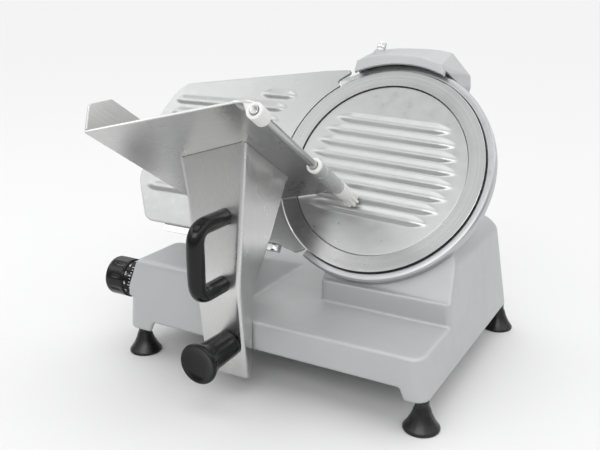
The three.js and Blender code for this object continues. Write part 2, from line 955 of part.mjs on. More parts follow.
const pulleyBack = pulleyFront - pulleyWidth;
const pulley = turnedRing(
  [[shaftRadius + clearance, bladeFloor], [bladeBore - clearance, bladeFloor],
    [bladeBore - clearance, bladeBack - clearance], [pulleySeatRadius, bladeBack - clearance],
    [pulleySeatRadius, pulleyFront], [pulleyRadius, pulleyFront], [pulleyRadius, pulleyBack],
    [pulleyRadius - pulleyRim, pulleyBack], [pulleyRadius - pulleyRim, pulleyFront - pulleyWeb],
    [bladeBore, pulleyFront - pulleyWeb], [bladeBore, pocketFloor + pulleyWeb / 2],
    [shaftRadius + clearance, pocketFloor + pulleyWeb / 2]],
  fineRound,
);
piece("blade_pulley", pulley, castAluminium(), bladePlane);

const shaft = turnedRing(
  [[shaftBore, bladeFloor], [shaftRadius, bladeFloor], [shaftRadius, bossBack + overrun],
    [shaftBore, bossBack + overrun]],
  midRound,
);
piece("blade_shaft", shaft, steel(), bladePlane);

for (const [name, front] of [["bearing_front", bearingFront], ["bearing_rear", bearingRear]]) {
  const bearing = turnedRing(
    [[shaftRadius + clearance, front], [bearingRadius, front], [bearingRadius, front - bearingWidth],
      [shaftRadius + clearance, front - bearingWidth]],
    midRound,
  );
  piece(name, bearing, steel(), bladePlane);
}

// Cover plate in front of the blade, held by a tie rod through the hollow shaft
const plate = turned(
  [[0, plateFace], [plateRadius, plateFace], [plateRadius, plateFace - plateThickness],
    [0, plateFace - plateThickness]],
  fineRound + midRound,
);
function ridge(radius, height, x0, x1) {
  const length = Math.max(x1 - x0 - 2 * radius, radius);
  const geometry = new THREE.CapsuleGeometry(radius, length, cornerSteps, smallRound / 2);
  geometry.rotateZ(Math.PI / 2);
  geometry.scale(1, 1, height / radius);
  return geometry.translate((x0 + x1) / 2, 0, 0);
}
const plateRibs = [];
for (let i = 0; i < plateRibCount; i += 1) {
  const up = plateRibTop - i * plateRibPitch;
  const half = Math.sqrt(plateRibEndRadius ** 2 - up ** 2);
  plateRibs.push(translated(ridge(plateRibRadius, plateRibHeight, -half, half), 0, up, plateFace)
    .rotateZ(plateRibTurnDeg * deg));
}
piece("blade_cover", join(plate, ...plateRibs), castAluminium(), bladePlane);

const tieRod = rod(tieRodRadius, tieRodBack, plateFace - plateThickness - clearance, smallRound);
piece("cover_tie_rod", tieRod, steel(), bladePlane);

const lockKnobFront = bossBack - clearance;
const lockKnobBack = lockKnobFront - lockKnobLength;
const lockKnob = fluted(
  turned(
    [[0, lockKnobFront], [lockKnobFlangeRadius, lockKnobFront],
      [lockKnobFlangeRadius, lockKnobFront - lockKnobFlange], [lockKnobRadius, lockKnobFront - lockKnobFlange],
      [lockKnobRadius, lockKnobBack], [0, lockKnobBack]],
    midRound,
  ),
  knobFluteCount, knobFluteRadius, lockKnobRadius + knobFluteRadius / 2,
  lockKnobBack - overrun, lockKnobFront - lockKnobFlange - overrun,
);
const tieRodBore = rod(tieRodRadius + clearance, tieRodBack - clearance, lockKnobFront + overrun, smallRound);
piece("cover_lock_knob", cut(lockKnob, tieRodBore), black(), bladePlane);

// Motor with its pinion, and the belt
const motorFront = motorWallBack - clearance;
const motor = turned(
  [[0, motorFront - motorSocket], [motorShaftRadius + clearance, motorFront - motorSocket],
    [motorShaftRadius + clearance, motorFront], [motorNeckRadius, motorFront],
    [motorNeckRadius, motorFront - motorNeck], [motorRadius, motorFront - motorNeck],
    [motorRadius, motorFront - motorNeck - motorLength], [0, motorFront - motorNeck - motorLength]],
  midRound,
);
piece("motor_housing", motor, castAluminium(), bladePlane).position.set(motorX, motorDown, 0);

const rotor = turned(
  [[0, pulleyFront], [pinionRadius, pulleyFront], [pinionRadius, pulleyBack], [motorShaftRadius, pulleyBack],
    [motorShaftRadius, motorFront - motorSocket + clearance], [0, motorFront - motorSocket + clearance]],
  midRound,
);
piece("motor_rotor", rotor, steel(), bladePlane).position.set(motorX, motorDown, 0);

// Outline around both pulleys at a given distance from their rims
function beltOutline(reach) {
  const big = pulleyRadius + reach;
  const small = pinionRadius + reach;
  const along = Math.atan2(motorDown, motorX) / deg;
  const open = Math.acos((big - small) / Math.hypot(motorX, motorDown)) / deg;
  return [
    ...arcPoints(0, 0, big, along + open, along - open + 360, fineRound),
    ...arcPoints(motorX, motorDown, small, along - open, along + open, smallRound),
  ];
}
const beltFront = pulleyFront - (pulleyWidth - beltWidth) / 2;
const belt = cut(
  prism(beltOutline(clearance + beltThickness), beltFront - beltWidth, beltFront),
  prism(beltOutline(clearance), beltFront - beltWidth - overrun, beltFront + overrun),
);
piece("drive_belt", belt, rubber(), bladePlane);

// Guard ring, a channel around the right side of the blade
function ringSector(inner, outer, z0, z1) {
  const outline = [
    ...arcPoints(0, 0, outer, guardStartDeg, guardEndDeg, fineRound),
    ...arcPoints(0, 0, inner, guardEndDeg, guardStartDeg, fineRound),
  ];
  return prism(outline, z0, z1);
}
const guardBack = headFace + clearance;
const guardFoot = cut(
  prism(scaled(guardFootShares, bladeRadius), guardFront - guardFootThickness, guardFront + plateRibHeight),
  rod(guardInner, guardBack - overrun, overrun, fineRound + midRound),
);
const guard = join(
  ringSector(guardInner, guardOuter, guardBack, guardFront),
  ringSector(guardWebInner, guardInner + overrun, guardBack, guardBack + guardWeb),
  guardFoot,
);
piece("blade_guard_ring", guard, castAluminium(), bladePlane);

// Sharpener: a hood on a post, with two stones on push buttons
function hoodLevels(inset) {
  const shrink = (outline) => outline.map(([x, y]) => {
    const rise = y - bladeRadius * sharpenerCentreShare;
    const reach = Math.hypot(x, rise);
    return [x - (inset * x) / reach, y - (inset * rise) / reach];
  });
  return [
    { z: sharpenerRear + inset, outline: shrink(scaled(sharpenerRearShares, bladeRadius)) },
    { z: sharpenerFront - inset, outline: shrink(scaled(sharpenerFrontShares, bladeRadius)) },
  ];
}
const guardClear = rod(guardOuter + overrun, -far, sharpenerApronBack, fineRound);
const apronClear = rod(sharpenerApron, -far, far, fineRound);
const hoodSeat = alongMinusY(rod(lockScrewSeatRadius, -lockScrewSeat, -lockScrewSeat + lockScrewStud, smallRound));
const hoodOuter = join(
  cut(loft(hoodLevels(0)), guardClear, apronClear),
  translated(hoodSeat, lockScrewX, 0, lockScrewDepth),
);
const sleeveCore = alongMinusY(rod(postSleeveRadius, -bladeRadius * sharpenerRearShares[5][1] + clearance,
  -headRadius - postFoot - clearance, smallRound));
const hoodHollow = cut(
  loft(hoodLevels(sharpenerWall)),
  translated(sleeveCore, 0, 0, postCentre),
  translated(hoodSeat, lockScrewX, 0, lockScrewDepth),
);
const postBore = alongMinusY(rod(postRadius + clearance, -postTop - clearance, -guardOuter, smallRound));
const screwBore = alongMinusY(rod(lockScrewStudRadius + clearance, -lockScrewSeat - overrun,
  -lockScrewSeat + lockScrewStud + overrun, smallRound));
const screwFace = alongMinusY(rod(lockScrewRadius + 2 * clearance, -lockScrewSeat - lockScrewHead, -lockScrewSeat,
  smallRound));
const stonePlaces = [
  ["grind", -stoneOffset, grindStoneBack],
  ["hone", stoneOffset, honeStoneBack],
];
const stoneBores = stonePlaces.map(([, x]) => translated(
  rod(stoneButtonStem + clearance, sharpenerRear - overrun, sharpenerRear + sharpenerWall + overrun, smallRound),
  x, stoneHeight, 0,
));
const hood = cut(
  hoodOuter, hoodHollow,
  translated(postBore, 0, 0, postCentre),
  translated(screwBore, lockScrewX, 0, lockScrewDepth),
  translated(screwFace, lockScrewX, 0, lockScrewDepth),
  ...stoneBores,
);
piece("sharpener_hood", hood, painted(), bladePlane);

const postBase = cut(
  box(-postFootWidth / 2, postFootWidth / 2, headRadius - postFootDepth, headRadius + postFoot,
    postCentre - postFootDepth / 2, postCentre + postFootDepth / 2),
  rod(headRadius + clearance, -far, far, fineRound + midRound),
);
const post = alongMinusY(rod(postRadius, -postTop, -headRadius - postFoot / 2, smallRound));
piece("sharpener_post", join(postBase, translated(post, 0, 0, postCentre)), castAluminium(), bladePlane);

function alongRod(radius, z0, z1) {
  return rod(radius, z0, z1, smallRound);
}
const lockScrew = cut(
  join(
    fluted(alongRod(lockScrewRadius, clearance, lockScrewHead), smallRound / 2, lockScrewRadius / 6, lockScrewRadius,
      -overrun, lockScrewHead + overrun),
    alongRod(lockScrewStudRadius, -lockScrewStud - overrun, clearance + overrun),
  ),
  alongRod(lockScrewStudRadius / 2, lockScrewHead / 2, lockScrewHead + overrun),
);
const lockScrewMesh = piece("sharpener_lock_screw", lockScrew, steel(), bladePlane);
lockScrewMesh.position.set(lockScrewX, lockScrewSeat, lockScrewDepth);
lockScrewMesh.rotation.x = -Math.PI / 2;

for (const [kind, x, back] of stonePlaces) {
  const buttonFront = sharpenerRear - stoneTravel - clearance;
  const button = turned(
    [[0, buttonFront - stoneButtonLength], [stoneButtonRadius, buttonFront - stoneButtonLength],
      [stoneButtonRadius, buttonFront], [stoneButtonStem, buttonFront],
      [stoneButtonStem, back - clearance], [stoneShaftRadius, back - clearance],
      [stoneShaftRadius, back + stoneThickness], [0, back + stoneThickness]],
    smallRound,
  );
  piece(`${kind}_button`, button, black(), bladePlane).position.set(x, stoneHeight, 0);
  const wheel = turnedRing(
    [[stoneShaftRadius + clearance, back], [stoneRadius, back], [stoneRadius, back + stoneThickness],
      [stoneShaftRadius + clearance, back + stoneThickness]],
    midRound,
  );
  piece(`${kind}_stone`, wheel, stone(), bladePlane).position.set(x, stoneHeight, 0);
}

// Gauge plate: closes the left side of the blade and sets the thickness of the slice
const gaugeOutline = [
  ...scaled(gaugeRightShares, bladeRadius),
  ...gaugeLeftShares.map(([x, y]) => [x * gaugeReach, y * gaugeDepth]),
];
const gaugeRibs = [];
for (let i = 0; i < gaugeRibCount; i += 1) {
  const up = gaugeRibTop - i * gaugeRibPitch;
  const start = i === 0 ? gaugeTopRibStart : gaugeRibStart;
  const end = Math.sqrt(gaugeRibEndRadius ** 2 - up ** 2);
  gaugeRibs.push(translated(ridge(gaugeRibRadius, gaugeRibHeight, -start, -end), 0, up, 0));
}
const gauge = cut(
  join(prism(gaugeOutline, -gaugeThickness, 0), ...gaugeRibs),
  rod(gaugeArcRadius, -gaugeThickness - overrun, overrun, fineRound + midRound),
);
piece("gauge_plate", gauge, castAluminium(), bladePlane);

const barFront = -gaugeThickness - clearance;
const barBack = barFront - barThickness;
const boltPlaces = [barRight - boltInset - boltPitch, barRight - boltInset];
const boltHeight = barBottom + boltRadius;
const boltHoles = boltPlaces.map((x) => translated(
  rod(boltShankRadius + clearance, barFront - boltShank - clearance, barFront + overrun, smallRound), x, boltHeight, 0,
));
const bar = cut(box(barLeft, barRight, barBottom, barTop, barBack, barFront), ...boltHoles);
piece("gauge_support_bar", bar, steel(), bladePlane);
boltPlaces.forEach((x, i) => {
  const head = rod(boltRadius, barFront + clearance, barFront + boltHead, 6);
  const shank = rod(boltShankRadius, barFront - boltShank, barFront + boltHead / 2, smallRound);
  piece(`bracket_bolt_${i + 1}`, join(head, shank), steel(), bladePlane).position.set(x, boltHeight, 0);
});

const bracketMid = (barFront + barBack) / 2;
const bracketFoot = slideRodHeight + slideBlockHalf + clearance;
const bracket = cut(
  box(bracketX - bracketWidth / 2, bracketX + bracketWidth / 2, bracketFoot, barTop - overrun,
    bracketMid - bracketDepth / 2 - castingWall, bracketMid + bracketDepth / 2),
  box(bracketX - bracketWidth, bracketX + bracketWidth, barBottom - clearance, barTop,
    barBack - clearance, bracketMid + bracketDepth),
);
piece("gauge_bracket", bracket, castAluminium(), bladePlane);

// Slide block on its rod, with the pad that rests on the cam
const padTouch = knobPoint.out - camLow - camPlay;
const slideBlockBack = slideBlockFront - slideBlockLength;
const padLeft = camLeft - clearance;
const slideBlock = cut(
  join(
    box(bracketX - slideBlockHalf, bracketX + slideBlockHalf, slideRodHeight - slideBlockHalf,
      slideRodHeight + slideBlockHalf, slideBlockBack, slideBlockFront),
    box(padLeft, bracketX, knobPoint.up - camPadHalf, slideRodHeight - slideBlockHalf + overrun,
      slideBlockFront - camPadDepth, slideBlockFront),
    box(padLeft, camLeft + camWidth, knobPoint.up - camPadHalf, knobPoint.up + camPadHalf,
      slideBlockFront - camPadDepth, padTouch),
  ),
  translated(rod(slideRodRadius + clearance, slideBlockBack - overrun, slideBlockFront + overrun, smallRound),
    bracketX, slideRodHeight, 0),
);
piece("gauge_slide_block", slideBlock, castAluminium(), bladePlane);
const slideRod = rod(slideRodRadius, slideRodBack, slideRodFront, smallRound);
piece("gauge_slide_rod", slideRod, steel(), bladePlane).position.set(bracketX, slideRodHeight, 0);

// Thickness knob, shaft and cam: the cam's radius grows with the turn of the knob
const knobInner = leftWall(knobZ + knobDialRadius) - 2 * clearance - leftLeanShare * 2 * knobDialRadius;
const knobBody = fluted(
  turned(
    [[0, knobOuterX], [knobRadius - footRim, knobOuterX], [knobRadius, knobOuterX + footRim],
      [knobRadius, knobInner - knobDialWidth], [knobDialRadius, knobInner - knobDialWidth],
      [knobDialRadius, knobInner], [0, knobInner]],
    midRound,
  ),
  knobFluteCount, knobFluteRadius, knobRadius + knobFluteRadius / 3,
  knobOuterX - overrun, knobInner - knobDialWidth - overrun,
);
const knobSocket = rod(knobShaftRadius + clearance, knobOuterX + knobDialWidth, knobInner + overrun, smallRound);
const knobMesh = piece("thickness_knob", alongX(geometryOf(cut(knobBody, knobSocket))), black(), machine);
knobMesh.position.set(0, knobY, knobZ);
const knobShaft = rod(knobShaftRadius, knobOuterX + knobDialWidth + clearance, knobShaftInner, smallRound);
piece("thickness_shaft", alongX(knobShaft), steel(), machine).position.set(0, knobY, knobZ);

// Snail outline: it rises over the knob's turn, drops back and then dwells at its low radius.
// The angle is measured from the touching point, against the knob's turn.
function snail(steps) {
  const touch = -lean / deg;
  const points = [];
  for (let i = 0; i <= steps; i += 1) {
    const turn = (camTurnDeg * i) / steps;
    const radius = camLow + (gaugeTravel * turn) / camTurnDeg;
    const angle = (touch + turn) * deg;
    points.push([radius * Math.cos(angle), radius * Math.sin(angle)]);
  }
  const dropEnd = 360 - camDropDeg;
  for (const turn of [dropEnd, 360 - camDwellDeg, 360 - camDwellDeg / 2]) {
    const high = turn === dropEnd ? camHigh * Math.cos((dropEnd - camTurnDeg) * deg) : camLow;
    const angle = (touch + turn) * deg;
    points.push([high * Math.cos(angle), high * Math.sin(angle)]);
  }
  return points;
}
const cam = cut(
  prism(snail(camSteps), camLeft, camLeft + camWidth),
  rod(knobShaftRadius + clearance, camLeft - overrun, camLeft + camWidth + overrun, smallRound),
);
piece("thickness_cam", alongX(geometryOf(cam)), steel(), machine).position.set(0, knobY, knobZ);

// Switch with its two buttons, and the cord inlet
const switchBores = [-switchButtonOffset, switchButtonOffset].map((y) => translated(
  rod(switchButtonRadius + clearance, -switchButtonStem - switchButtonTravel, switchPlate + overrun, smallRound),
  0, y, 0,
));
const switchBox = cut(
  join(
    box(-switchHeight / 2, switchHeight / 2, -switchWidth / 2, switchWidth / 2, clearance, switchPlate),
    box(-switchBodyHeight / 2, switchBodyHeight / 2, -switchBodyWidth / 2, switchBodyWidth / 2,
      -switchDepth, clearance + switchPlate / 2),
  ),
  ...switchBores,
);
piece("switch_box", switchBox, black(), switchPanel);
for (const [name, y, look] of [
  ["switch_on_button", switchButtonOffset, green()], ["switch_off_button", -switchButtonOffset, red()],
]) {
  const button = rod(switchButtonRadius, -switchButtonStem + clearance, switchPlate + switchButtonRise, smallRound);
  piece(name, button, look, switchPanel).position.set(0, y, 0);
}
const inlet = turnedRing(
  [[inletBoreRadius, -castingWall - overrun], [inletNeckRadius, -castingWall - overrun],
    [inletNeckRadius, clearance], [inletRadius, clearance], [inletRadius, inletLength / 2],
    [inletNeckRadius, inletLength], [inletBoreRadius, inletLength]],
  smallRound,
);
piece("cord_inlet", inlet, black(), inletPanel);

// Guide rod and rail
const guideLeft = guideLeftWall + guideEnd + clearance;
const guideRight = guideRightWall - guideEnd - clearance;
piece("guide_rod", alongX(rod(guideRadius, guideLeft, guideRight, midRound)), steel(), machine)
  .position.set(0, guideY, guideZ);
const rail = box(guideLeft, guideRight, railY - railThickness / 2, railY + railThickness / 2,
  railBottom, railBottom + railHeight);
piece("guide_rail", rail, steel(), machine);

// Carriage slide: a plate under the skirt, a block on the guide rod and an upright behind the arm
function armFace(z) {
  if (z > armKneeZ) {
    return armKneeY + ((armTopY - armKneeY) * (z - armKneeZ)) / (armBottom + armHeight - armKneeZ);
  }
  return armKneeY + ((armFootY - armKneeY) * (armKneeZ - z)) / (armKneeZ - armBottom);
}
const slideTop = slideBottom + slidePlate;
const uprightBack = baseFront - slideRunGap;
const bushBlock = slideBushRadius + clearance + slideBlockWall;
const uprightBehind = armThickness + clearance;
const upright = alongX(prism(
  [
    [armFace(slideBottom) + uprightBehind, slideBottom], [uprightBack, slideBottom],
    [uprightBack, slideUprightTop], [armFace(slideUprightTop) + uprightBehind, slideUprightTop],
  ],
  slideLeft, slideUprightRight,
));
const slide = cut(
  join(
    upright,
    box(slideLeft, slideRight, uprightBack - overrun, slideRearY, slideBottom, slideTop),
    box(slideLeft, slideRight, guideY - bushBlock, guideY + bushBlock, guideZ - bushBlock, guideZ + bushBlock),
  ),
  translated(alongX(rod(slideBushRadius + clearance, slideLeft - overrun, slideRight + overrun, midRound)),
    0, guideY, guideZ),
  translated(alongMinusY(rod(clampStudRadius + clearance, -uprightBack - overrun, -armKneeY, smallRound)),
    clampX, 0, clampZ),
);
piece("carriage_slide", slide, castAluminium(), machine);
for (const [name, x] of [
  ["slide_bush_left", slideLeft], ["slide_bush_right", slideRight - slideBushLength],
]) {
  const bush = turnedRing(
    [[guideRadius + clearance, x], [slideBushRadius, x], [slideBushRadius, x + slideBushLength],
      [guideRadius + clearance, x + slideBushLength]],
    midRound,
  );
  piece(name, alongX(bush), pale(), machine).position.set(0, guideY, guideZ);
}
const shoeX = (slideLeft + slideRight) / 2;
const shoe = box(shoeX - shoeHalf, shoeX + shoeHalf, railY - railThickness, slideRearY,
  slideTop + clearance, railBottom - clearance);
piece("slide_shoe", shoe, pale(), machine);

// Carriage arm: a plate with a knee and a flange folded back along its right edge
const armTop = armBottom + armHeight * armEdgeShares[0][1];
const armProfile = [
  [armFace(armBottom), armBottom], [armFace(armBottom) + armThickness, armBottom],
  [armKneeY + armThickness, armKneeZ], [armFace(armTop) + armThickness, armTop],
  [armFace(armTop), armTop], [armKneeY, armKneeZ],
];
const armFront = [
  [armFoldX, armTop + overrun], ...armEdgeShares.map(([x, z]) => [armFoldX - armWidth * x, armBottom + armHeight * z]),
  [armFoldX, armBottom],
];
const armPlate = common(
  alongX(prism(armProfile, armFoldX - 2 * armWidth, armFoldX)),
  alongMinusY(prism(armFront, 0, -2 * armKneeY)),
);
const armFlange = alongX(prism(
  [
    [armFace(armBottom), armBottom], [armKneeY, armKneeZ], [armFace(armTop), armTop],
    ...armFlangeShares.map(([y, z]) => [armKneeY + armFlangeDepth * y, armBottom + armHeight * z]),
  ],
  armFoldX - armThickness, armFoldX,
));
const overTray = box(2 * trayLeft, far, trayUnder - clearance, far, -far, far).applyMatrix4(trayMatrix);
const handlePlaces = [["upper", handleTopZ], ["lower", handleBottomZ]];
const handleHoles = handlePlaces.map(([, z]) => translated(
  alongMinusY(rod(handleBoltRadius + clearance, -armFace(z) - 2 * armThickness, -armFace(z) + armThickness, smallRound)),
  handleX, 0, z,
));
const clampHole = translated(
  alongMinusY(rod(clampStudRadius + clearance, -armFace(clampZ) - 2 * armThickness, -armFace(clampZ) + armThickness,
    smallRound)),
  clampX, 0, clampZ,
);
piece("carriage_arm", cut(join(armPlate, armFlange), overTray, ...handleHoles, clampHole), brushed(), machine);

// Carriage handle: a bent bar whose ends stand on the arm
const grip = new THREE.CatmullRomCurve3([
  new THREE.Vector3(handleX, armKneeY + handleBend, handleTopZ),
  new THREE.Vector3(handleX, armKneeY - handleBend / 2, handleTopZ),
  new THREE.Vector3(handleX, handleGripY + handleBend, handleTopZ),
  new THREE.Vector3(handleX, handleGripY + handleBend / 4, handleTopZ - handleBend / 4),
  new THREE.Vector3(handleX, handleGripY, handleTopZ - handleBend),
  new THREE.Vector3(handleX, handleGripY, handleBottomZ + handleBend),
  new THREE.Vector3(handleX, handleGripY + handleBend / 4, handleBottomZ + handleBend / 4),
  new THREE.Vector3(handleX, handleGripY + handleBend, handleBottomZ),
  new THREE.Vector3(handleX, armKneeY - handleBend / 2, handleBottomZ),
  new THREE.Vector3(handleX, armKneeY + handleBend, handleBottomZ),
], false, "centripetal");
const handleRound = new THREE.ExtrudeGeometry(
  shapeOf(arcPoints(0, 0, handleRadius, 0, 360 - 360 / smallRound, smallRound - 1)),
  { steps: handleSteps, extrudePath: grip },
);
const behindArm = alongX(prism(
  [
    [armFace(armBottom) - clearance, armBottom], [0, armBottom], [0, armTop],
    [armFace(armTop) - clearance, armTop], [armKneeY - clearance, armKneeZ],
  ],
  handleX - armWidth, handleX + armWidth,
));
const handleBoltHoles = handlePlaces.map(([, z]) => translated(
  alongMinusY(rod(handleBoltRadius + clearance, -armFace(z) - armThickness,
    -armFace(z) + handleBoltLength + clearance, smallRound)),
  handleX, 0, z,
));
piece("carriage_handle", cut(handleRound, behindArm, ...handleBoltHoles), black(), machine);
for (const [name, z] of handlePlaces) {
  const plateBack = -armFace(z) - armThickness;
  const headTop = plateBack - 2 * clearance;
  const bolt = join(
    rod(handleBoltHeadRadius, headTop - handleBoltHead, headTop, 6),
    rod(handleBoltRadius, headTop - handleBoltHead / 2, -armFace(z) + handleBoltLength, smallRound),
  );
  piece(`handle_bolt_${name}`, alongMinusY(geometryOf(bolt)), steel(), machine).position.set(handleX, 0, z);
}

// Clamp knob and its stud, which hold the arm on the slide
const clampKnob = fluted(
  turned(
    [[0, -clampRootY], [clampNeckRadius - clampNeckBevel, -clampRootY],
      [clampNeckRadius, -clampRootY + clampNeckBevel], [clampNeckRadius, -clampFrontY - 2 * clampFlare],
      [clampFlareRadius, -clampFrontY - clampFlare / 2], [clampFlareRadius - clampFlare / 8, -clampFrontY],
      [0, -clampFrontY]],
    midRound,
  ),
  clampFluteCount, clampFluteRadius, clampNeckRadius + clampFluteRadius * 0.7,
  -clampRootY + clampFlare / 2, -clampFrontY - clampFlare,
);
const clampSocket = rod(clampStudRadius + clearance, -clampRootY - overrun, -clampRootY + clampStudInKnob, smallRound);
piece("clamp_knob", alongMinusY(geometryOf(cut(clampKnob, clampSocket))), black(), machine)
  .position.set(clampX, 0, clampZ);
const clampStud = rod(clampStudRadius, -clampStudBack, -clampRootY + clampStudInKnob - clearance, smallRound);
piece("clamp_stud", alongMinusY(clampStud), steel(), machine).position.set(clampX, 0, clampZ);

// Food tray and its fence
const trayRibs = [];
for (let i = 0; i < trayRibCount; i += 1) {
  const rib = ridge(trayRibRadius, trayRibHeight, trayNear + trayRibInset, trayFar - trayRibInset);
  rib.rotateY(-Math.PI / 2).rotateZ(Math.PI / 2);
  trayRibs.push(translated(rib, trayRight - trayRibInset - i * trayRibPitch, trayUnder + trayThickness, 0));
}
const tray = box(trayLeft, trayRight, trayUnder, trayUnder + trayThickness, trayNear, trayFar);
piece("product_tray", join(tray, ...trayRibs), brushed(), trayPlane);
const fenceFoot = trayUnder + trayThickness + clearance;
const fence = prism(
  [
    [trayNear, fenceFoot], [trayFar, fenceFoot], [trayFar, fenceShoulder],
    [trayFar - fenceChamfer, fenceTop], [trayNear, fenceTop],
  ],
  -fenceThickness / 2, fenceThickness / 2,
).rotateY(-Math.PI / 2);
piece("tray_fence", fence, brushed(), trayPlane).position.set(trayLeft + fenceThickness / 2, 0, 0);

// Pusher rod in its two lugs, with the knob at its foot and the sleeve that slides on it
for (const [name, top] of [["rod_lug_upper", upperLugTop], ["rod_lug_lower", lowerLugTop]]) {
  const foot = trayUnder - clearance;
  const web = prism(
    [
      [trayRight - lugFoot, foot], [trayRight - lugFoot, foot - lugFootThickness],
      [rodX - lugRadius * 0.6, rodDown - lugRadius * 0.7], [rodX + lugRadius * 0.7, rodDown + lugRadius * 0.6],
      [trayRight, foot],
    ],
    top - lugLength, top,
  );
  const ring = translated(rod(lugRadius, top - lugLength, top, midRound), rodX, rodDown, 0);
  const bore = translated(rod(rodRadius + clearance, top - lugLength - overrun, top + overrun, midRound), rodX, rodDown, 0);
  piece(name, cut(join(web, ring), bore), pale(), trayPlane);
}
piece("pusher_rod", rod(rodRadius, rodFoot, rodTop, midRound), steel(), trayPlane).position.set(rodX, rodDown, 0);
const endKnobTop = lowerLugTop - lugLength - clearance;
const endKnob = cut(
  fluted(
    turned(
      [[0, endKnobFoot], [endKnobRadius, endKnobFoot], [endKnobRadius, endKnobFoot + rodRadius],
        [endKnobNeckRadius, endKnobFoot + 3 * rodRadius], [endKnobNeckRadius, endKnobTop], [0, endKnobTop]],
      midRound,
    ),
    endKnobFluteCount, endKnobFluteRadius, endKnobRadius + endKnobFluteRadius / 2,
    endKnobFoot - overrun, endKnobTop - 2 * overrun,
  ),
  rod(rodRadius + clearance, rodFoot - clearance, endKnobTop + overrun, smallRound),
);
piece("rod_end_knob", endKnob, pale(), trayPlane).position.set(rodX, rodDown, 0);
const sleeveFoot = lowerLugTop + clearance;
const sleeve = turnedRing(
  [[rodRadius + clearance, sleeveFoot], [sleeveRadius, sleeveFoot], [sleeveRadius, sleeveFoot + sleeveLength],
    [rodRadius + clearance, sleeveFoot + sleeveLength]],
  midRound,
);
piece("pusher_sleeve", sleeve, steel(), trayPlane).position.set(rodX, rodDown, 0);

// The origin is below the middle of the object, on the surface it stands on
object.updateMatrixWorld(true);
const bounds = new THREE.Box3().setFromObject(object, true);
machine.position.set(-(bounds.min.x + bounds.max.x) / 2, -(bounds.min.y + bounds.max.y) / 2, -bounds.min.z);

export default object;
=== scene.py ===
"""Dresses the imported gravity-feed slicer with smooth pieces and procedural materials.

Pieces are drawn in millimetres, in the frame of the machine or in the leaning plane of the
blade, and are placed in the row frame in metres.
"""

from math import atan, atan2, cos, degrees, exp, hypot, log, pi, radians, sin, sqrt, tan

import bmesh
import bpy
from mathutils import Matrix, Vector, kdtree
from mathutils.geometry import delaunay_2d_cdt


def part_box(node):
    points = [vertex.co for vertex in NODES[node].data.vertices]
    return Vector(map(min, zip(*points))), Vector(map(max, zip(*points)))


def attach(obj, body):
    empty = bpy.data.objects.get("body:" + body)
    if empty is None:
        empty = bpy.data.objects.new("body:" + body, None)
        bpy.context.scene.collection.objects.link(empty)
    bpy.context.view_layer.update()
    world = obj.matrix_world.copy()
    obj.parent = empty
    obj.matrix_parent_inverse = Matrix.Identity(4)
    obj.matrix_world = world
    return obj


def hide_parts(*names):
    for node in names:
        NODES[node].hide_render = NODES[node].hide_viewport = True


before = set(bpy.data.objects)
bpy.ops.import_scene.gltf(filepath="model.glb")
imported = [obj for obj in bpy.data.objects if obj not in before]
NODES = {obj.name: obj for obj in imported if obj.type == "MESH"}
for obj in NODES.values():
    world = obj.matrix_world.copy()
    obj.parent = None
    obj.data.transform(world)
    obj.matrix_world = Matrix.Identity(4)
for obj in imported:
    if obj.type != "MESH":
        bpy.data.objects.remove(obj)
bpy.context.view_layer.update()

MM = 0.001

# Places of the machine's own frame, in millimetres: its origin is under the blade's centre
FOOT_LEFT, FOOT_FRONT = -249.0, -136.9
BLADE_CENTRE_HEIGHT = 234.5
BLADE_LEAN = radians(32.73)
TRAY_TILT = radians(15.4)

foot_low, foot_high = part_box("foot_front_left")
ORIGIN = Vector((
    (foot_low.x + foot_high.x) / 2 - FOOT_LEFT * MM,
    (foot_low.y + foot_high.y) / 2 - FOOT_FRONT * MM,
    0.0,
))

MACHINE = Matrix.Translation(ORIGIN)
BLADE_CENTRE = Matrix.Translation((0, 0, BLADE_CENTRE_HEIGHT))
BLADE_MM = BLADE_CENTRE @ Matrix.Rotation(pi / 2 - BLADE_LEAN, 4, "X")
TRAY_MM = BLADE_MM @ Matrix.Rotation(TRAY_TILT, 4, "Z")


def in_metres(point):
    return Vector(point) * MM


def placement(matrix):
    """The place in the row frame of a frame drawn in millimetres in the machine's own."""
    metres = matrix.copy()
    metres.translation = in_metres(matrix.translation)
    return MACHINE @ metres


BLADE_PLANE = placement(BLADE_MM)


def added(name, data):
    """A new object in the scene."""
    made = bpy.data.objects.new(name, data)
    bpy.context.scene.collection.objects.link(made)
    return made


# Camera at the photograph's viewing angle

CAMERA_PLACE = (345.0, -796.9, 434.5)
CAMERA_PITCH, CAMERA_TURN = 17.34, 29.38
camera_data = bpy.data.cameras.new("photo_camera")
camera_data.sensor_width = 36
camera_data.lens = 45.52
camera = added("photo_camera", camera_data)
camera.location = MACHINE @ in_metres(CAMERA_PLACE)
camera.rotation_euler = (radians(90 - CAMERA_PITCH), 0, radians(CAMERA_TURN))
bpy.context.scene.camera = camera


# Materials: each is a node tree with colour variation, roughness and bump

class Graph:
    """A short way to add nodes and links to a node tree."""

    def __init__(self, tree):
        self.tree = tree

    def node(self, kind, values=None, **settings):
        made = self.tree.nodes.new(kind)
        for name, value in settings.items():
            setattr(made, name, value)
        for name, value in (values or {}).items():
            made.inputs[name].default_value = value
        return made

    def link(self, source, target):
        self.tree.links.new(source, target)


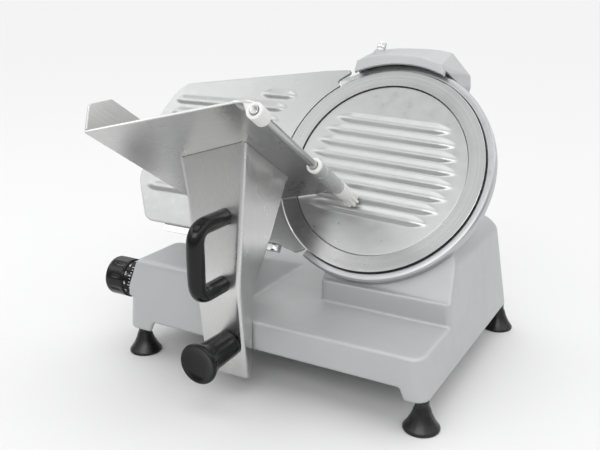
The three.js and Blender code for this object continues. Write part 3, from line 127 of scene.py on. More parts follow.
class Tree(Graph):
    """A material whose node tree ends in one Principled shader."""

    def __init__(self, name, metallic=0.0):
        self.material = bpy.data.materials.new(name)
        self.material.use_nodes = True
        super().__init__(self.material.node_tree)
        self.shader = self.tree.nodes["Principled BSDF"]
        self.coordinates = self.node("ShaderNodeTexCoord").outputs["Object"]
        self.shade("Metallic", metallic)

    def shade(self, name, value):
        self.shader.inputs[name].default_value = value

    def stretched(self, scale):
        mapping = self.node("ShaderNodeMapping", {"Scale": scale})
        self.link(self.coordinates, mapping.inputs["Vector"])
        return mapping.outputs["Vector"]

    def noise(self, scale, detail=3.0, vector=None):
        made = self.node("ShaderNodeTexNoise", {"Scale": scale, "Detail": detail})
        self.link(vector or self.coordinates, made.inputs["Vector"])
        return made.outputs["Fac"]

    def remap(self, value, low, high, start=0.3, end=0.7):
        limits = {"From Min": start, "From Max": end, "To Min": low, "To Max": high}
        made = self.node("ShaderNodeMapRange", limits)
        self.link(value, made.inputs["Value"])
        return made.outputs["Result"]

    def colours(self, value, low, high, start=0.3, end=0.7):
        ramp = self.node("ShaderNodeValToRGB")
        for element, position, colour in zip(ramp.color_ramp.elements, (start, end), (low, high)):
            element.position = position
            element.color = (*colour, 1)
        self.link(value, ramp.inputs["Fac"])
        return ramp.outputs["Color"]

    def base(self, colour):
        self.link(colour, self.shader.inputs["Base Color"])

    def vary(self, value, colour, dark, light):
        """Lets a value move the base colour between a darker and a lighter tint of it."""
        self.base(self.colours(value, tinted(colour, dark), tinted(colour, light)))

    def rough(self, value, low, high):
        self.link(self.remap(value, low, high), self.shader.inputs["Roughness"])

    def bump(self, height, distance, strength=1.0, under=None):
        made = self.node("ShaderNodeBump", {"Distance": distance, "Strength": strength})
        self.link(height, made.inputs["Height"])
        if under is not None:
            self.link(under, made.inputs["Normal"])
        self.link(made.outputs["Normal"], self.shader.inputs["Normal"])
        return made.outputs["Normal"]


def tinted(colour, factor):
    return tuple(min(channel * factor, 1.0) for channel in colour)


def painted_metal(name, colour):
    """Satin grey paint over a casting, with a fine orange peel."""
    tree = Tree(name, metallic=0.25)
    tree.vary(tree.noise(9, 4), colour, 0.965, 1.03)
    tree.rough(tree.noise(60, 4), 0.36, 0.46)
    swell = tree.bump(tree.noise(35, 2), 0.0004, 0.35)
    tree.bump(tree.noise(1400, 2), 0.00006, 0.5, under=swell)
    return tree.material


def satin_casting(name, colour):
    """Cast aluminium with a fine anodised grain."""
    tree = Tree(name, metallic=0.75)
    tree.vary(tree.noise(14, 5), colour, 0.95, 1.03)
    tree.rough(tree.noise(90, 5), 0.27, 0.36)
    swell = tree.bump(tree.noise(45, 2), 0.0002, 0.25)
    tree.bump(tree.noise(1300, 1), 0.00002, 0.5, under=swell)
    return tree.material


def brushed_metal(name, colour, across):
    """Sheet metal ground in one direction: across is how fast the streaks change along x, y, z."""
    tree = Tree(name, metallic=1.0)
    streaks = tree.noise(1.0, 4, tree.stretched(across))
    broad = tree.noise(11, 3)
    tree.vary(streaks, colour, 0.93, 1.04)
    tree.rough(broad, 0.24, 0.33)
    tree.bump(streaks, 0.00001, 0.6)
    return tree.material


def polished_metal(name, colour):
    """Bright steel with faint hair lines."""
    tree = Tree(name, metallic=1.0)
    hair = tree.noise(1.0, 3, tree.stretched((60, 60, 900)))
    tree.vary(tree.noise(20, 4), colour, 0.95, 1.04)
    tree.rough(hair, 0.14, 0.22)
    tree.bump(hair, 0.00001, 0.5)
    return tree.material


def ground_disc(name, colour):
    """Steel ground on a turntable: rings around the object's z axis."""
    tree = Tree(name, metallic=1.0)
    flat = tree.node("ShaderNodeVectorMath", {1: (1, 1, 0)}, operation="MULTIPLY")
    tree.link(tree.coordinates, flat.inputs[0])
    length = tree.node("ShaderNodeVectorMath", operation="LENGTH")
    tree.link(flat.outputs["Vector"], length.inputs[0])
    rings = tree.node("ShaderNodeTexNoise", {"Scale": 260, "Detail": 2}, noise_dimensions="1D")
    tree.link(length.outputs["Value"], rings.inputs["W"])
    fac = rings.outputs["Fac"]
    tree.vary(fac, colour, 0.94, 1.04)
    tree.rough(tree.noise(18, 3), 0.24, 0.29)
    tree.bump(fac, 0.0000005, 0.4)
    around = tree.node("ShaderNodeTangent", direction_type="RADIAL", axis="Z")
    tree.link(around.outputs["Tangent"], tree.shader.inputs["Tangent"])
    tree.shade("Anisotropic", 0.35)
    return tree.material


def glossy_moulding(name, colour):
    """Glossy moulded plastic with a slight waviness and finger marks in its gloss."""
    tree = Tree(name)
    tree.vary(tree.noise(25, 3), colour, 0.85, 1.15)
    tree.rough(tree.noise(70, 4), 0.1, 0.17)
    tree.bump(tree.noise(120, 2), 0.00006, 0.25)
    tree.shade("Specular IOR Level", 0.3)
    return tree.material


def matt_moulding(name, colour, low=0.42, high=0.55):
    """Matt plastic or rubber with a spark-eroded grain."""
    tree = Tree(name)
    tree.vary(tree.noise(30, 4), colour, 0.93, 1.05)
    tree.rough(tree.noise(110, 4), low, high)
    tree.bump(tree.noise(1500, 2), 0.00006, 0.6)
    return tree.material


def bonded_grit(name, colour):
    tree = Tree(name)
    tree.vary(tree.noise(1800, 2), colour, 0.6, 1.4)
    tree.rough(tree.noise(300, 2), 0.85, 0.95)
    tree.bump(tree.noise(2600, 2), 0.0003, 1.0)
    return tree.material


GREY_PAINT = (0.47, 0.475, 0.48)
SATIN_ALUMINIUM = (0.5, 0.502, 0.505)
BRUSHED_STEEL = (0.62, 0.62, 0.615)
BRIGHT_STEEL = (0.74, 0.745, 0.75)
GLOSS_BLACK = (0.006, 0.0062, 0.0066)

looks = {
    "painted_body": painted_metal("satin_grey_paint", GREY_PAINT),
    "cast_aluminium": satin_casting("satin_cast_aluminium", SATIN_ALUMINIUM),
    "brushed_metal": brushed_metal("brushed_sheet", BRUSHED_STEEL, (900, 900, 12)),
    "polished_steel": polished_metal("bright_steel", BRIGHT_STEEL),
    "black_plastic": glossy_moulding("glossy_black_moulding", GLOSS_BLACK),
    "black_rubber": matt_moulding("black_rubber", (0.008, 0.008, 0.0085), 0.22, 0.34),
    "pale_plastic": matt_moulding("off_white_moulding", (0.8, 0.8, 0.785), 0.3, 0.42),
    "abrasive": bonded_grit("bonded_grit", (0.3, 0.27, 0.22)),
    "green_plastic": glossy_moulding("glossy_green_moulding", (0.02, 0.27, 0.07)),
    "red_plastic": glossy_moulding("glossy_red_moulding", (0.38, 0.012, 0.012)),
}

for name, node in NODES.items():
    slot = node.data.materials[0].name
    node.data.materials[0] = looks[slot]


# Shapes: each gives the corners, in millimetres, and the faces of a mesh

def lerp(low, high, share):
    return low + (high - low) * share


def smooth_step(value, low, high):
    share = min(max((value - low) / (high - low), 0.0), 1.0)
    return share * share * (3 - 2 * share)


def filleted(points, radius, steps=4, ring=True):
    """Rounds the corners of a flat line; radius is one number or one for each corner."""
    count = len(points)
    rounded = []
    for i, corner in enumerate(points):
        reach = radius[i] if isinstance(radius, (list, tuple)) else radius
        is_end = not ring and i in (0, count - 1)
        corner = Vector(corner)
        before = Vector(points[i - 1]) - corner
        after = Vector(points[(i + 1) % count]) - corner
        if is_end or reach == 0 or before.angle(after) > radians(178):
            rounded.append(tuple(corner))
            continue
        reach = min(reach / tan(before.angle(after) / 2), before.length * 0.49, after.length * 0.49)
        start = corner + before.normalized() * reach
        end = corner + after.normalized() * reach
        for step in range(steps + 1):
            share = step / steps
            point = start * (1 - share) ** 2 + corner * 2 * share * (1 - share) + end * share ** 2
            rounded.append(tuple(point))
    return rounded


def arc(x, y, radius, from_deg, to_deg, steps):
    angles = [radians(lerp(from_deg, to_deg, i / steps)) for i in range(steps + 1)]
    return [(x + radius * cos(a), y + radius * sin(a)) for a in angles]


CORNER_STEPS = 14


def rounded_rectangle(x0, x1, y0, y1, front, rear):
    return [
        *arc(x1 - front, y0 + front, front, -90, 0, CORNER_STEPS),
        *arc(x1 - rear, y1 - rear, rear, 0, 90, CORNER_STEPS),
        *arc(x0 + rear, y1 - rear, rear, 90, 180, CORNER_STEPS),
        *arc(x0 + front, y0 + front, front, 180, 270, CORNER_STEPS),
    ]


def lathe(profile, segments=96, ring=False, groove=None):
    """Turns a profile of (radius, height) about z. groove(angle, height) comes off the radius."""
    verts, faces, rows = [], [], []
    for radius, height in profile:
        if radius < 1e-6:
            rows.append([len(verts)] * segments)
            verts.append((0, 0, height))
            continue
        rows.append(list(range(len(verts), len(verts) + segments)))
        for i in range(segments):
            angle = 2 * pi * i / segments
            reach = radius - (groove(angle, height) if groove else 0)
            verts.append((reach * cos(angle), reach * sin(angle), height))
    pairs = list(zip(rows, rows[1:]))
    if ring:
        pairs.append((rows[-1], rows[0]))
    for low, high in pairs:
        for i in range(segments):
            j = (i + 1) % segments
            corners = list(dict.fromkeys((low[i], low[j], high[j], high[i])))
            if len(corners) > 2:
                faces.append(corners)
    return verts, faces


def cylinder(radius, low, high, segments):
    return lathe([(0, low), (radius, low), (radius, high), (0, high)], segments)


def walls(rows, count, flipped=False):
    """Quads between rows that hold the same number of points."""
    faces = []
    for row in range(rows - 1):
        for i in range(count):
            low, j = row * count, (i + 1) % count
            corners = [low + i, low + j, low + count + j, low + count + i]
            faces.append([corners[0], *corners[:0:-1]] if flipped else corners)
    return faces


def closed(verts, count, flipped=False):
    """A body of rows of points, with a face at each end."""
    first, last = list(range(count)), list(range(len(verts) - count, len(verts)))
    ends = [first, last[::-1]] if flipped else [first[::-1], last]
    return verts, ends + walls(len(verts) // count, count, flipped)


def loft(levels):
    """Joins outlines with the same number of points, each with its own height, into a closed body."""
    return closed([(x, y, z) for z, outline in levels for x, y in outline], len(levels[0][1]))


def prism(outline, z0, z1):
    return loft([(z0, outline), (z1, outline)])


def block(x0, x1, y0, y1, z0, z1):
    return prism([(x0, y0), (x1, y0), (x1, y1), (x0, y1)], z0, z1)


def ring_sector(section, from_deg, to_deg, steps):
    """Turns a closed section of (radius, height) through part of a circle about z."""
    verts = []
    for i in range(steps + 1):
        angle = radians(lerp(from_deg, to_deg, i / steps))
        verts += [(r * cos(angle), r * sin(angle), z) for r, z in section]
    return closed(verts, len(section), flipped=True)


def sweep(path, radius, segments):
    """Carries a round section along a path square to x; radius follows the share of its length."""
    points = [Vector(p) for p in path]
    lengths = [0.0]
    for a, b in zip(points, points[1:]):
        lengths.append(lengths[-1] + (b - a).length)
    verts = []
    side = Vector((1, 0, 0))
    for i, point in enumerate(points):
        ahead = points[min(i + 1, len(points) - 1)] - points[max(i - 1, 0)]
        across = ahead.normalized().cross(side).normalized()
        reach = radius(lengths[i] / lengths[-1])
        for k in range(segments):
            angle = 2 * pi * k / segments
            verts.append(point + side * cos(angle) * reach + across * sin(angle) * reach)
    return closed([tuple(v) for v in verts], segments, flipped=True)


def resampled(outline, spacing):
    points = []
    for i, point in enumerate(outline):
        a, b = Vector(point), Vector(outline[(i + 1) % len(outline)])
        parts = max(1, round((b - a).length / spacing))
        points += [tuple(a.lerp(b, k / parts)) for k in range(parts)]
    return points


def inset(outline, distance):
    """Moves a closed outline that runs anticlockwise inwards."""
    moved = []
    for i, point in enumerate(outline):
        before = Vector(outline[i - 1])
        after = Vector(outline[(i + 1) % len(outline)])
        along = (after - before).normalized()
        moved.append((point[0] - along.y * distance, point[1] + along.x * distance))
    return moved


def grid_inside(outline, cell):
    """Points of a square grid that lie inside a closed outline, a little away from it."""
    ys = [y for _, y in outline]
    points = []
    rows = int((max(ys) - min(ys)) / cell)
    for row in range(1, rows + 1):
        y = min(ys) + row * cell
        cuts = []
        for (x0, y0), (x1, y1) in zip(outline, outline[1:] + outline[:1]):
            if (y0 > y) != (y1 > y):
                cuts.append((x1 - x0) * (y - y0) / (y1 - y0) + x0)
        cuts.sort()
        for start, end in zip(cuts[::2], cuts[1::2]):
            first, last = start + cell * 0.6, end - cell * 0.6
            if last < first:
                continue
            parts = max(1, round((last - first) / cell))
            points += [(lerp(first, last, k / parts), y) for k in range(parts + 1)]
    edge = searchable(outline)
    return [p for p in points if edge.find((p[0], p[1], 0))[2] > cell * 0.5]


def searchable(points):
    tree = kdtree.KDTree(len(points))
    for i, point in enumerate(points):
        tree.insert((point[0], point[1], 0), i)
    tree.balance()
    return tree


RIM_STEPS = 3


def relief(outline, height, thickness, cell, rim):
    """A plate under a face that follows height(x, y), with rounded edges and a flat back."""
    outline = resampled(outline, cell)
    count = len(outline)
    verts = []
    angles = [pi / 2 * k / RIM_STEPS for k in range(RIM_STEPS + 1)]
    back = [(rim * (1 - cos(a)), -thickness + rim * (1 - sin(a))) for a in reversed(angles)]
    for shift, z in back:
        verts += [(x, y, z) for x, y in inset(outline, shift)]
    for a in angles:
        shift, drop = rim * (1 - cos(a)), rim * (1 - sin(a))
        verts += [(x, y, height(x, y) - drop) for x, y in inset(outline, shift)]
    faces = walls(len(back) + len(angles), count)
    faces.append(list(range(count))[::-1])
    edge = inset(outline, rim)
    flat = edge + grid_inside(edge, cell)
    ring = [(i, (i + 1) % count) for i in range(count)]
    corners, _, triangles, *_ = delaunay_2d_cdt([Vector(p) for p in flat], ring, [], 1, 1e-5)
    first = len(verts)
    verts += [(p.x, p.y, height(p.x, p.y)) for p in corners]
    faces += [[first + k for k in triangle] for triangle in triangles]
    return verts, faces


def joined(*shapes):
    verts, faces = [], []
    for shape_verts, shape_faces in shapes:
        first = len(verts)
        verts += shape_verts
        faces += [[first + k for k in face] for face in shape_faces]
    return verts, faces


def placed(shape, matrix):
    """Moves a shape by a matrix whose lengths are in millimetres."""
    verts, faces = shape
    return [tuple(matrix @ Vector(v)) for v in verts], faces


def shifted(x, y, z):
    return Matrix.Translation((x, y, z))


ALONG_MINUS_Y = Matrix.Rotation(pi / 2, 4, "X")
ALONG_Y = Matrix.Rotation(-pi / 2, 4, "X")
ALONG_X = Matrix(((0, 0, 1, 0), (1, 0, 0, 0), (0, 1, 0, 0), (0, 0, 0, 1)))


# Objects

def mended(data, gap, is_new):
    """Closes small gaps; turns the faces of a new mesh outwards and drops the flat ones of an old."""
    mesh = bmesh.new()
    mesh.from_mesh(data)
    bmesh.ops.remove_doubles(mesh, verts=mesh.verts, dist=gap * MM)
    if is_new:
        bmesh.ops.recalc_face_normals(mesh, faces=mesh.faces)
    else:
        bmesh.ops.dissolve_degenerate(mesh, edges=mesh.edges, dist=gap * MM)
    mesh.to_mesh(data)
    mesh.free()


def raw_object(name, shape, place):
    """A mesh object in metres at a place; its faces look outwards."""
    verts, faces = shape
    data = bpy.data.meshes.new(name)
    data.from_pydata([in_metres(v) for v in verts], [], faces)
    mended(data, 0.002, True)
    made = added(name, data)
    made.matrix_world = place
    return made


def modify(made, name, kind, **settings):
    modifier = made.modifiers.new(name, kind)
    for setting, value in settings.items():
        setattr(modifier, setting, value)


def with_modifiers_applied(made):
    depsgraph = bpy.context.evaluated_depsgraph_get()
    data = bpy.data.meshes.new_from_object(made.evaluated_get(depsgraph))
    made.modifiers.clear()
    made.data = data
    return made


def boolean(made, tool, operation):
    """Joins the tool to an object, cuts it off or keeps what both share, and removes the tool."""
    modify(made, "boolean", "BOOLEAN", operation=operation, solver="MANIFOLD", object=tool)
    with_modifiers_applied(made)
    bpy.data.objects.remove(tool)
    return made


def cut(made, name, shape, place=MACHINE):
    return boolean(made, raw_object(name, shape, place), "DIFFERENCE")


def remeshed(made, voxel, smoothing):
    """Turns overlapping bodies into one skin with soft edges and corners."""
    modify(made, "remesh", "REMESH", mode="VOXEL", voxel_size=voxel * MM)
    modify(made, "smooth", "SMOOTH", factor=0.5, iterations=smoothing)
    return with_modifiers_applied(made)


def finished(made, body, slot, *nodes, look=None, sharp=35, bevel=0.0, weighted=False):
    """Shades a piece, gives it its material and lets it stand for CAD nodes on their body."""
    if bevel:
        modify(made, "bevel", "BEVEL", width=bevel * MM, segments=2, limit_method="ANGLE",
               angle_limit=radians(30))
        with_modifiers_applied(made)
    mended(made.data, 0.004, False)
    for face in made.data.polygons:
        face.use_smooth = True
    made.data.set_sharp_from_angle(angle=radians(sharp))
    if weighted:
        modify(made, "even_normals", "WEIGHTED_NORMAL", keep_sharp=True)
        with_modifiers_applied(made)
    made.data.materials.clear()
    made.data.materials.append(look or looks[slot])
    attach(made, body)
    if nodes:
        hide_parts(*nodes)
    return made


def piece(name, shape, place, body, slot, *nodes, **finish):
    return finished(raw_object(name, shape, place), body, slot, *nodes, **finish)


# Base casting: one skin over the tray, the raised left side, the housing and the round head

LUG_BOTTOM, SKIRT_BOTTOM, PLATFORM_TOP = 36.0, 49.5, 84.5
BASE_LEFT, BASE_RIGHT, BASE_FRONT, BASE_REAR = -261.0, 127.0, -155.0, 158.0
LEFT_LEAN, RIGHT_LEAN, REAR_LEAN = 0.1, 0.13, 0.15
WALL = 4.0
FRONT_CORNER, REAR_CORNER = 15.0, 20.0
PLATFORM_EDGE = 3.0
LOBE_CREASE, LOBE_TOP, LOBE_FRONT_LEAN, LOBE_LEFT_LEAN = 92.0, 126.0, 4.0, 8.0
LOBE_RIGHT_TOP, LOBE_RIGHT_FOOT = -150.0, -113.0
LOBE_BACK_TOP, LOBE_BACK_FOOT = -76.0, 34.0
LOBE_EDGE, LOBE_CORNER = 5.0, 5.0
HOUSING_LEFT, HOUSING_FRONT, HOUSING_CORNER = -39.0, -67.0, 6.0
HOUSING_SHOULDER, HOUSING_TOP, HOUSING_CURVE = 142.0, 167.0, 1.6
LEDGE_HEIGHT = 111.0
HEAD_FACE, HEAD_RADIUS = -15.7, 116.0
BOSS_RADIUS, BOSS_BACK, BOSS_KEEP = 28.0, -84.0, 33.0
HEAD_PROFILE = [
    (0, HEAD_FACE), (HEAD_RADIUS, HEAD_FACE), (HEAD_RADIUS, -45), (95, -60), (BOSS_RADIUS, -60),
    (BOSS_RADIUS, BOSS_BACK), (0, BOSS_BACK),
]
SKIRT_LEFT, SKIRT_RIGHT, LUG_SLANT = -219.5, 97.0, 7.0
POCKET_RADIUS, POCKET_FLOOR, MOTOR_WALL = 103.0, -44.0, 8.0
MOTOR_X, MOTOR_DOWN = 40.0, -84.0
PINION_POCKET, BEARING_BORE, MOTOR_BORE, SHAFT_BORE = 22.0, 20.3, 10.0, 5.3
FAR = 400.0
DIAL_CENTRE = shifted(0, -125, 88)


def left_wall(z):
    return BASE_LEFT + LEFT_LEAN * (z - LUG_BOTTOM)


def right_wall(z):
    return BASE_RIGHT - RIGHT_LEAN * (z - LUG_BOTTOM)


def rear_wall(z):
    return BASE_REAR - REAR_LEAN * (z - LUG_BOTTOM)


def tray_level(z, off):
    return z, rounded_rectangle(
        left_wall(z) + off, right_wall(z) - off, BASE_FRONT + off, rear_wall(z) - off,
        FRONT_CORNER - off, REAR_CORNER - off,
    )


def lobe_level(z, off):
    rise = max(z - LOBE_CREASE, 0) / (LOBE_TOP - LOBE_CREASE)
    full = (z - PLATFORM_TOP) / (LOBE_TOP - PLATFORM_TOP)
    return z, rounded_rectangle(
        left_wall(z) + LOBE_LEFT_LEAN * rise + off, lerp(LOBE_RIGHT_FOOT, LOBE_RIGHT_TOP, full) - off,
        BASE_FRONT + LOBE_FRONT_LEAN * rise + off, lerp(LOBE_BACK_FOOT, LOBE_BACK_TOP, full) - off,
        LOBE_CORNER, LOBE_CORNER,
    )


def housing_level(z, off):
    return z, rounded_rectangle(
        HOUSING_LEFT + off, right_wall(z) - off, HOUSING_FRONT + off, rear_wall(z) - off,
        HOUSING_CORNER, REAR_CORNER,
    )


EDGE_STEPS = 6


def edge_levels(level, top, radius):
    """Levels that round an upper edge over its last few millimetres."""
    angles = [pi / 2 * k / EDGE_STEPS for k in range(EDGE_STEPS + 1)]
    return [level(top - radius * (1 - sin(a)), radius * (1 - cos(a))) for a in angles]


def housing_levels(off):
    levels = [housing_level(PLATFORM_TOP - WALL - 2, off)]
    rounded = HOUSING_TOP - HOUSING_SHOULDER
    for k in range(11):
        share = k / 10
        pull = 1 - (1 - share ** HOUSING_CURVE) ** (1 / HOUSING_CURVE)
        levels.append(housing_level(HOUSING_SHOULDER + (rounded - off) * share, off + rounded * pull * 0.98))
    return levels


def casting_skin():
    skin = raw_object("cast_base", loft([
        tray_level(LUG_BOTTOM, 1.5), tray_level(LUG_BOTTOM + 1.5, 0),
        *edge_levels(tray_level, PLATFORM_TOP, PLATFORM_EDGE),
    ]), MACHINE)
    skirt = prism(
        [(SKIRT_LEFT - LUG_SLANT, LUG_BOTTOM - 2), (SKIRT_RIGHT + LUG_SLANT, LUG_BOTTOM - 2),
         (SKIRT_RIGHT, SKIRT_BOTTOM), (SKIRT_LEFT, SKIRT_BOTTOM)],
        -BASE_FRONT - 2 * WALL, -BASE_FRONT + 2)
    cut(skin, "skirt_cut", placed(skirt, ALONG_MINUS_Y))
    foot = PLATFORM_TOP - WALL - 2
    lobe = raw_object("base_lobe", loft([
        lobe_level(foot, 0), lobe_level(LOBE_CREASE, 0), *edge_levels(lobe_level, LOBE_TOP, LOBE_EDGE),
    ]), MACHINE)
    boolean(skin, lobe, "UNION")
    housing = raw_object("base_housing", loft(housing_levels(0)), MACHINE)
    slope = tan(BLADE_LEAN)
    face_at_ledge = (LEDGE_HEIGHT - BLADE_CENTRE_HEIGHT) * sin(BLADE_LEAN)
    ledge_y = (face_at_ledge - HEAD_FACE) / cos(BLADE_LEAN)
    front = prism(
        [(ledge_y, LEDGE_HEIGHT), (ledge_y + FAR * slope, LEDGE_HEIGHT + FAR),
         (-FAR, LEDGE_HEIGHT + FAR), (-FAR, LEDGE_HEIGHT)],
        HOUSING_LEFT - 2, BASE_RIGHT + 2)
    cut(housing, "housing_front_cut", placed(front, ALONG_X))
    boolean(skin, housing, "UNION")
    head = placed(lathe(filleted(HEAD_PROFILE, 3, ring=False), 180), BLADE_MM)
    boolean(skin, raw_object("base_head", head, MACHINE), "UNION")
    return remeshed(skin, 1.6, 7)


def casting():
    """Hollows the skin and cuts its pockets and bores.

    Not cut yet: the channel of radius 29 on the blade's axis, from far behind up to the boss, which
    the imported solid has. So the rear knob sits a few millimetres deep in the top of the housing.
    """
    skin = casting_skin()
    foot = PLATFORM_TOP - WALL - 2
    cut(skin, "tray_hollow", loft([tray_level(LUG_BOTTOM - 4, WALL), tray_level(PLATFORM_TOP - WALL, WALL)]))
    cut(skin, "lobe_hollow", loft([
        lobe_level(foot, WALL), lobe_level(LOBE_CREASE, WALL), lobe_level(LOBE_TOP - WALL - 1, WALL)]))
    tool = raw_object("housing_hollow", loft(housing_levels(WALL)), MACHINE)
    behind = placed(block(-FAR, FAR, -FAR, FAR, -FAR, POCKET_FLOOR - MOTOR_WALL), BLADE_MM)
    boolean(tool, raw_object("behind_wall", behind, MACHINE), "INTERSECT")
    cut(tool, "boss_keep", placed(cylinder(BOSS_KEEP, -FAR, FAR, 48), BLADE_MM))
    boolean(skin, tool, "DIFFERENCE")
    at_motor = shifted(MOTOR_X, MOTOR_DOWN, 0)
    for name, shape in (
        ("pocket", cylinder(POCKET_RADIUS, POCKET_FLOOR, 0, 120)),
        ("pinion_pocket", placed(cylinder(PINION_POCKET, POCKET_FLOOR, 0, 48), at_motor)),
        ("bearing_bore", cylinder(BEARING_BORE, -90, -40, 64)),
        ("motor_bore", placed(cylinder(MOTOR_BORE, -56, -40, 32), at_motor)),
        ("bracket_slot", block(-179, -151, -158, -107, -37, -2)),
    ):
        cut(skin, name, placed(shape, BLADE_MM))
    cut(skin, "shaft_bore", placed(placed(cylinder(SHAFT_BORE, -263, -240, 32), ALONG_X), DIAL_CENTRE))
    blocks = joined(block(-255.6, -241.6, -125, -83, 37.3, 66), block(107.2, 121.2, -125, -83, 37.3, 66))
    boolean(skin, raw_object("guide_blocks", blocks, MACHINE), "UNION")
    return finished(skin, "base", "painted_body", "base_casting", sharp=40)


casting()


# Feet

FOOT_PROFILE = [
    (0, 0), (19.1, 0), (19.68, 0.7), (19.68, 2.6), (18.4, 4.2), (15.6, 8.5), (12.8, 13.5), (10.4, 19),
    (8.9, 24), (7.3, 27.5), (7, 30), (7, 35.4), (0, 35.4),
]
for side, x in (("left", FOOT_LEFT), ("right", 117.3)):
    for end, y in (("front", FOOT_FRONT), ("rear", 146.6)):
        name = f"foot_{end}_{side}"
        piece(f"rubber_{name}", lathe(FOOT_PROFILE, 64), placement(shifted(x, y, 0)), "base", "black_rubber",
              name, sharp=50)


# Blade, cover plate and guard ring

blade_look = ground_disc("turned_steel", (0.52, 0.522, 0.525))
BLADE_PROFILE = [
    (22, -7.4), (105.8, -7.4), (106, -7.1), (106, -0.9), (106.2, -0.7), (117.5, -0.35), (118.2, -0.3),
    (124.6, 0), (125, -0.15), (125, -0.4), (118, -3.2), (105.5, -9.8), (22, -9.8),
]
piece("ground_blade", lathe(BLADE_PROFILE, 240, ring=True), BLADE_PLANE, "blade_unit", "polished_steel",
      "blade", look=blade_look, sharp=12)

PLATE_RADIUS, PLATE_FACE, PLATE_THICKNESS = 105.3, -3.0, 3.5
PLATE_TURN = radians(-2.7)
PLATE_RIBS, PLATE_RIB_TOP, PLATE_RIB_PITCH, PLATE_RIB_REACH = 8, 57.5, 16, 96


def rib(across, along, start, end, height, steep, gentle, taper):
    """A pressed rib along a line: it rises steeply below and gently above, with tapered ends."""
    ends = min(smooth_step(along, start, start + taper), smooth_step(-along, -end, -end + taper))
    if ends <= 0:
        return 0.0
    width = steep if across < 0 else gentle
    share = abs(across) / (width * lerp(0.4, 1.0, ends))
    return height * ends * (1 - share ** 2.4) ** 1.4 if share < 1 else 0.0


def cover_height(x, y):
    along = x * cos(PLATE_TURN) + y * sin(PLATE_TURN)
    up = -x * sin(PLATE_TURN) + y * cos(PLATE_TURN)
    height = 0.0
    for i in range(PLATE_RIBS):
        level = PLATE_RIB_TOP - i * PLATE_RIB_PITCH
        half = sqrt(PLATE_RIB_REACH ** 2 - level ** 2)
        height += rib(up - level, along, -half, half, 2.4, 6.0, 7.6, 24)
    return height


circle = arc(0, 0, PLATE_RADIUS, 0, 359, 359)
piece("ribbed_cover", relief(circle, cover_height, PLATE_THICKNESS, 1.3, 0.9),
      placement(BLADE_MM @ shifted(0, 0, PLATE_FACE)), "base", "cast_aluminium", "blade_cover", sharp=50,
      weighted=True)

guard_section = filleted(
    [(127, -13.4), (107, -13.4), (107, -15.4), (135, -15.4), (135, -5.6), (132.9, -3.4), (126.7, -3.4),
     (125.9, -4.2), (127, -6.2)], 0.5, 2)
guard_foot = [(-60.7, 111.9), (-68.9, 115.4), (-79, 107.6), (-78.8, 104.2), (-75.7, 101.5)]
guard_foot += [arc(0, 0, 127, a, a, 1)[0] for a in (126.7, 124, 121, 118.5)]
guard_foot = filleted(guard_foot, 1.2, 3)
guard_look = satin_casting("satin_guard_ring", (0.5, 0.505, 0.51))
piece("guard_ring", joined(ring_sector(guard_section, -119.5, 123, 220), prism(guard_foot, -13, -2.6)),
      BLADE_PLANE, "base", "cast_aluminium", "blade_guard_ring", look=guard_look, bevel=0.4, sharp=28)


# Sharpener hood and its lock screw

BLADE_RADIUS = 125.0
SCREW_CENTRE = (-40, 153, -8)
SCREW_SPOT = shifted(*SCREW_CENTRE) @ ALONG_Y
BUTTON_X, BUTTON_Y = 20.5, 143.75
HOOD_FRONT = [
    (-0.444, 0.8), (-0.47, 0.944), (-0.471, 1.046), (-0.355, 1.09), (-0.21, 1.121), (-0.047, 1.13),
    (0.17, 1.11), (0.392, 1.05), (0.424, 0.976), (0.44, 0.864), (0.4, 0.784),
]
HOOD_REAR = [
    (-0.48, 0.8), (-0.508, 1.08), (-0.506, 1.34), (-0.42, 1.372), (-0.236, 1.395), (0.044, 1.401),
    (0.2, 1.392), (0.336, 1.37), (0.57, 1.133), (0.604, 1.0), (0.576, 0.84),
]
HOOD_BACK, HOOD_FACE = -36.0, 10.0


def hood_outline(shares, off):
    centre = Vector((0, 0.8 * BLADE_RADIUS))
    points = []
    for x, y in shares:
        point = Vector((x * BLADE_RADIUS, y * BLADE_RADIUS))
        points.append(tuple(point - (point - centre).normalized() * off))
    return points


def hood_body(off):
    rear = (HOOD_BACK + off, hood_outline(HOOD_REAR, off))
    return loft([rear, (HOOD_FACE - off, hood_outline(HOOD_FRONT, off))])


hood = raw_object("sharpener_cover", hood_body(0), BLADE_PLANE)
seat = placed(cylinder(7.5, -14, 0, 48), SCREW_SPOT)
boolean(hood, raw_object("hood_seat", seat, BLADE_PLANE), "UNION")
cut(hood, "guard_clear", cylinder(137, -60, 5, 180), BLADE_PLANE)
cut(hood, "apron_clear", cylinder(129.6, -60, 60, 180), BLADE_PLANE)
remeshed(hood, 0.9, 5)
hollow = raw_object("hood_hollow", hood_body(3), BLADE_PLANE)
cut(hollow, "sleeve_keep", placed(cylinder(8, 0, 60, 40), shifted(0, 139.3, -24) @ ALONG_Y), BLADE_PLANE)
cut(hollow, "seat_keep", seat, BLADE_PLANE)
boolean(hood, hollow, "DIFFERENCE")
cut(hood, "post_bore", placed(cylinder(5.3, 0, 25.9, 40), shifted(0, 135, -24) @ ALONG_Y), BLADE_PLANE)
for side, x in (("left", -BUTTON_X), ("right", BUTTON_X)):
    bore = placed(cylinder(5.3, -38, -31, 40), shifted(x, BUTTON_Y, 0))
    cut(hood, f"button_bore_{side}", bore, BLADE_PLANE)
cut(hood, "screw_bore", placed(cylinder(2.8, -17, 3, 32), SCREW_SPOT), BLADE_PLANE)
cut(hood, "screw_face", placed(cylinder(6.1, 0, 13, 40), SCREW_SPOT), BLADE_PLANE)
hood.data.transform(BLADE_PLANE)
hood.matrix_world = Matrix.Identity(4)
finished(hood, "sharpener", "painted_body", "sharpener_hood", sharp=40)


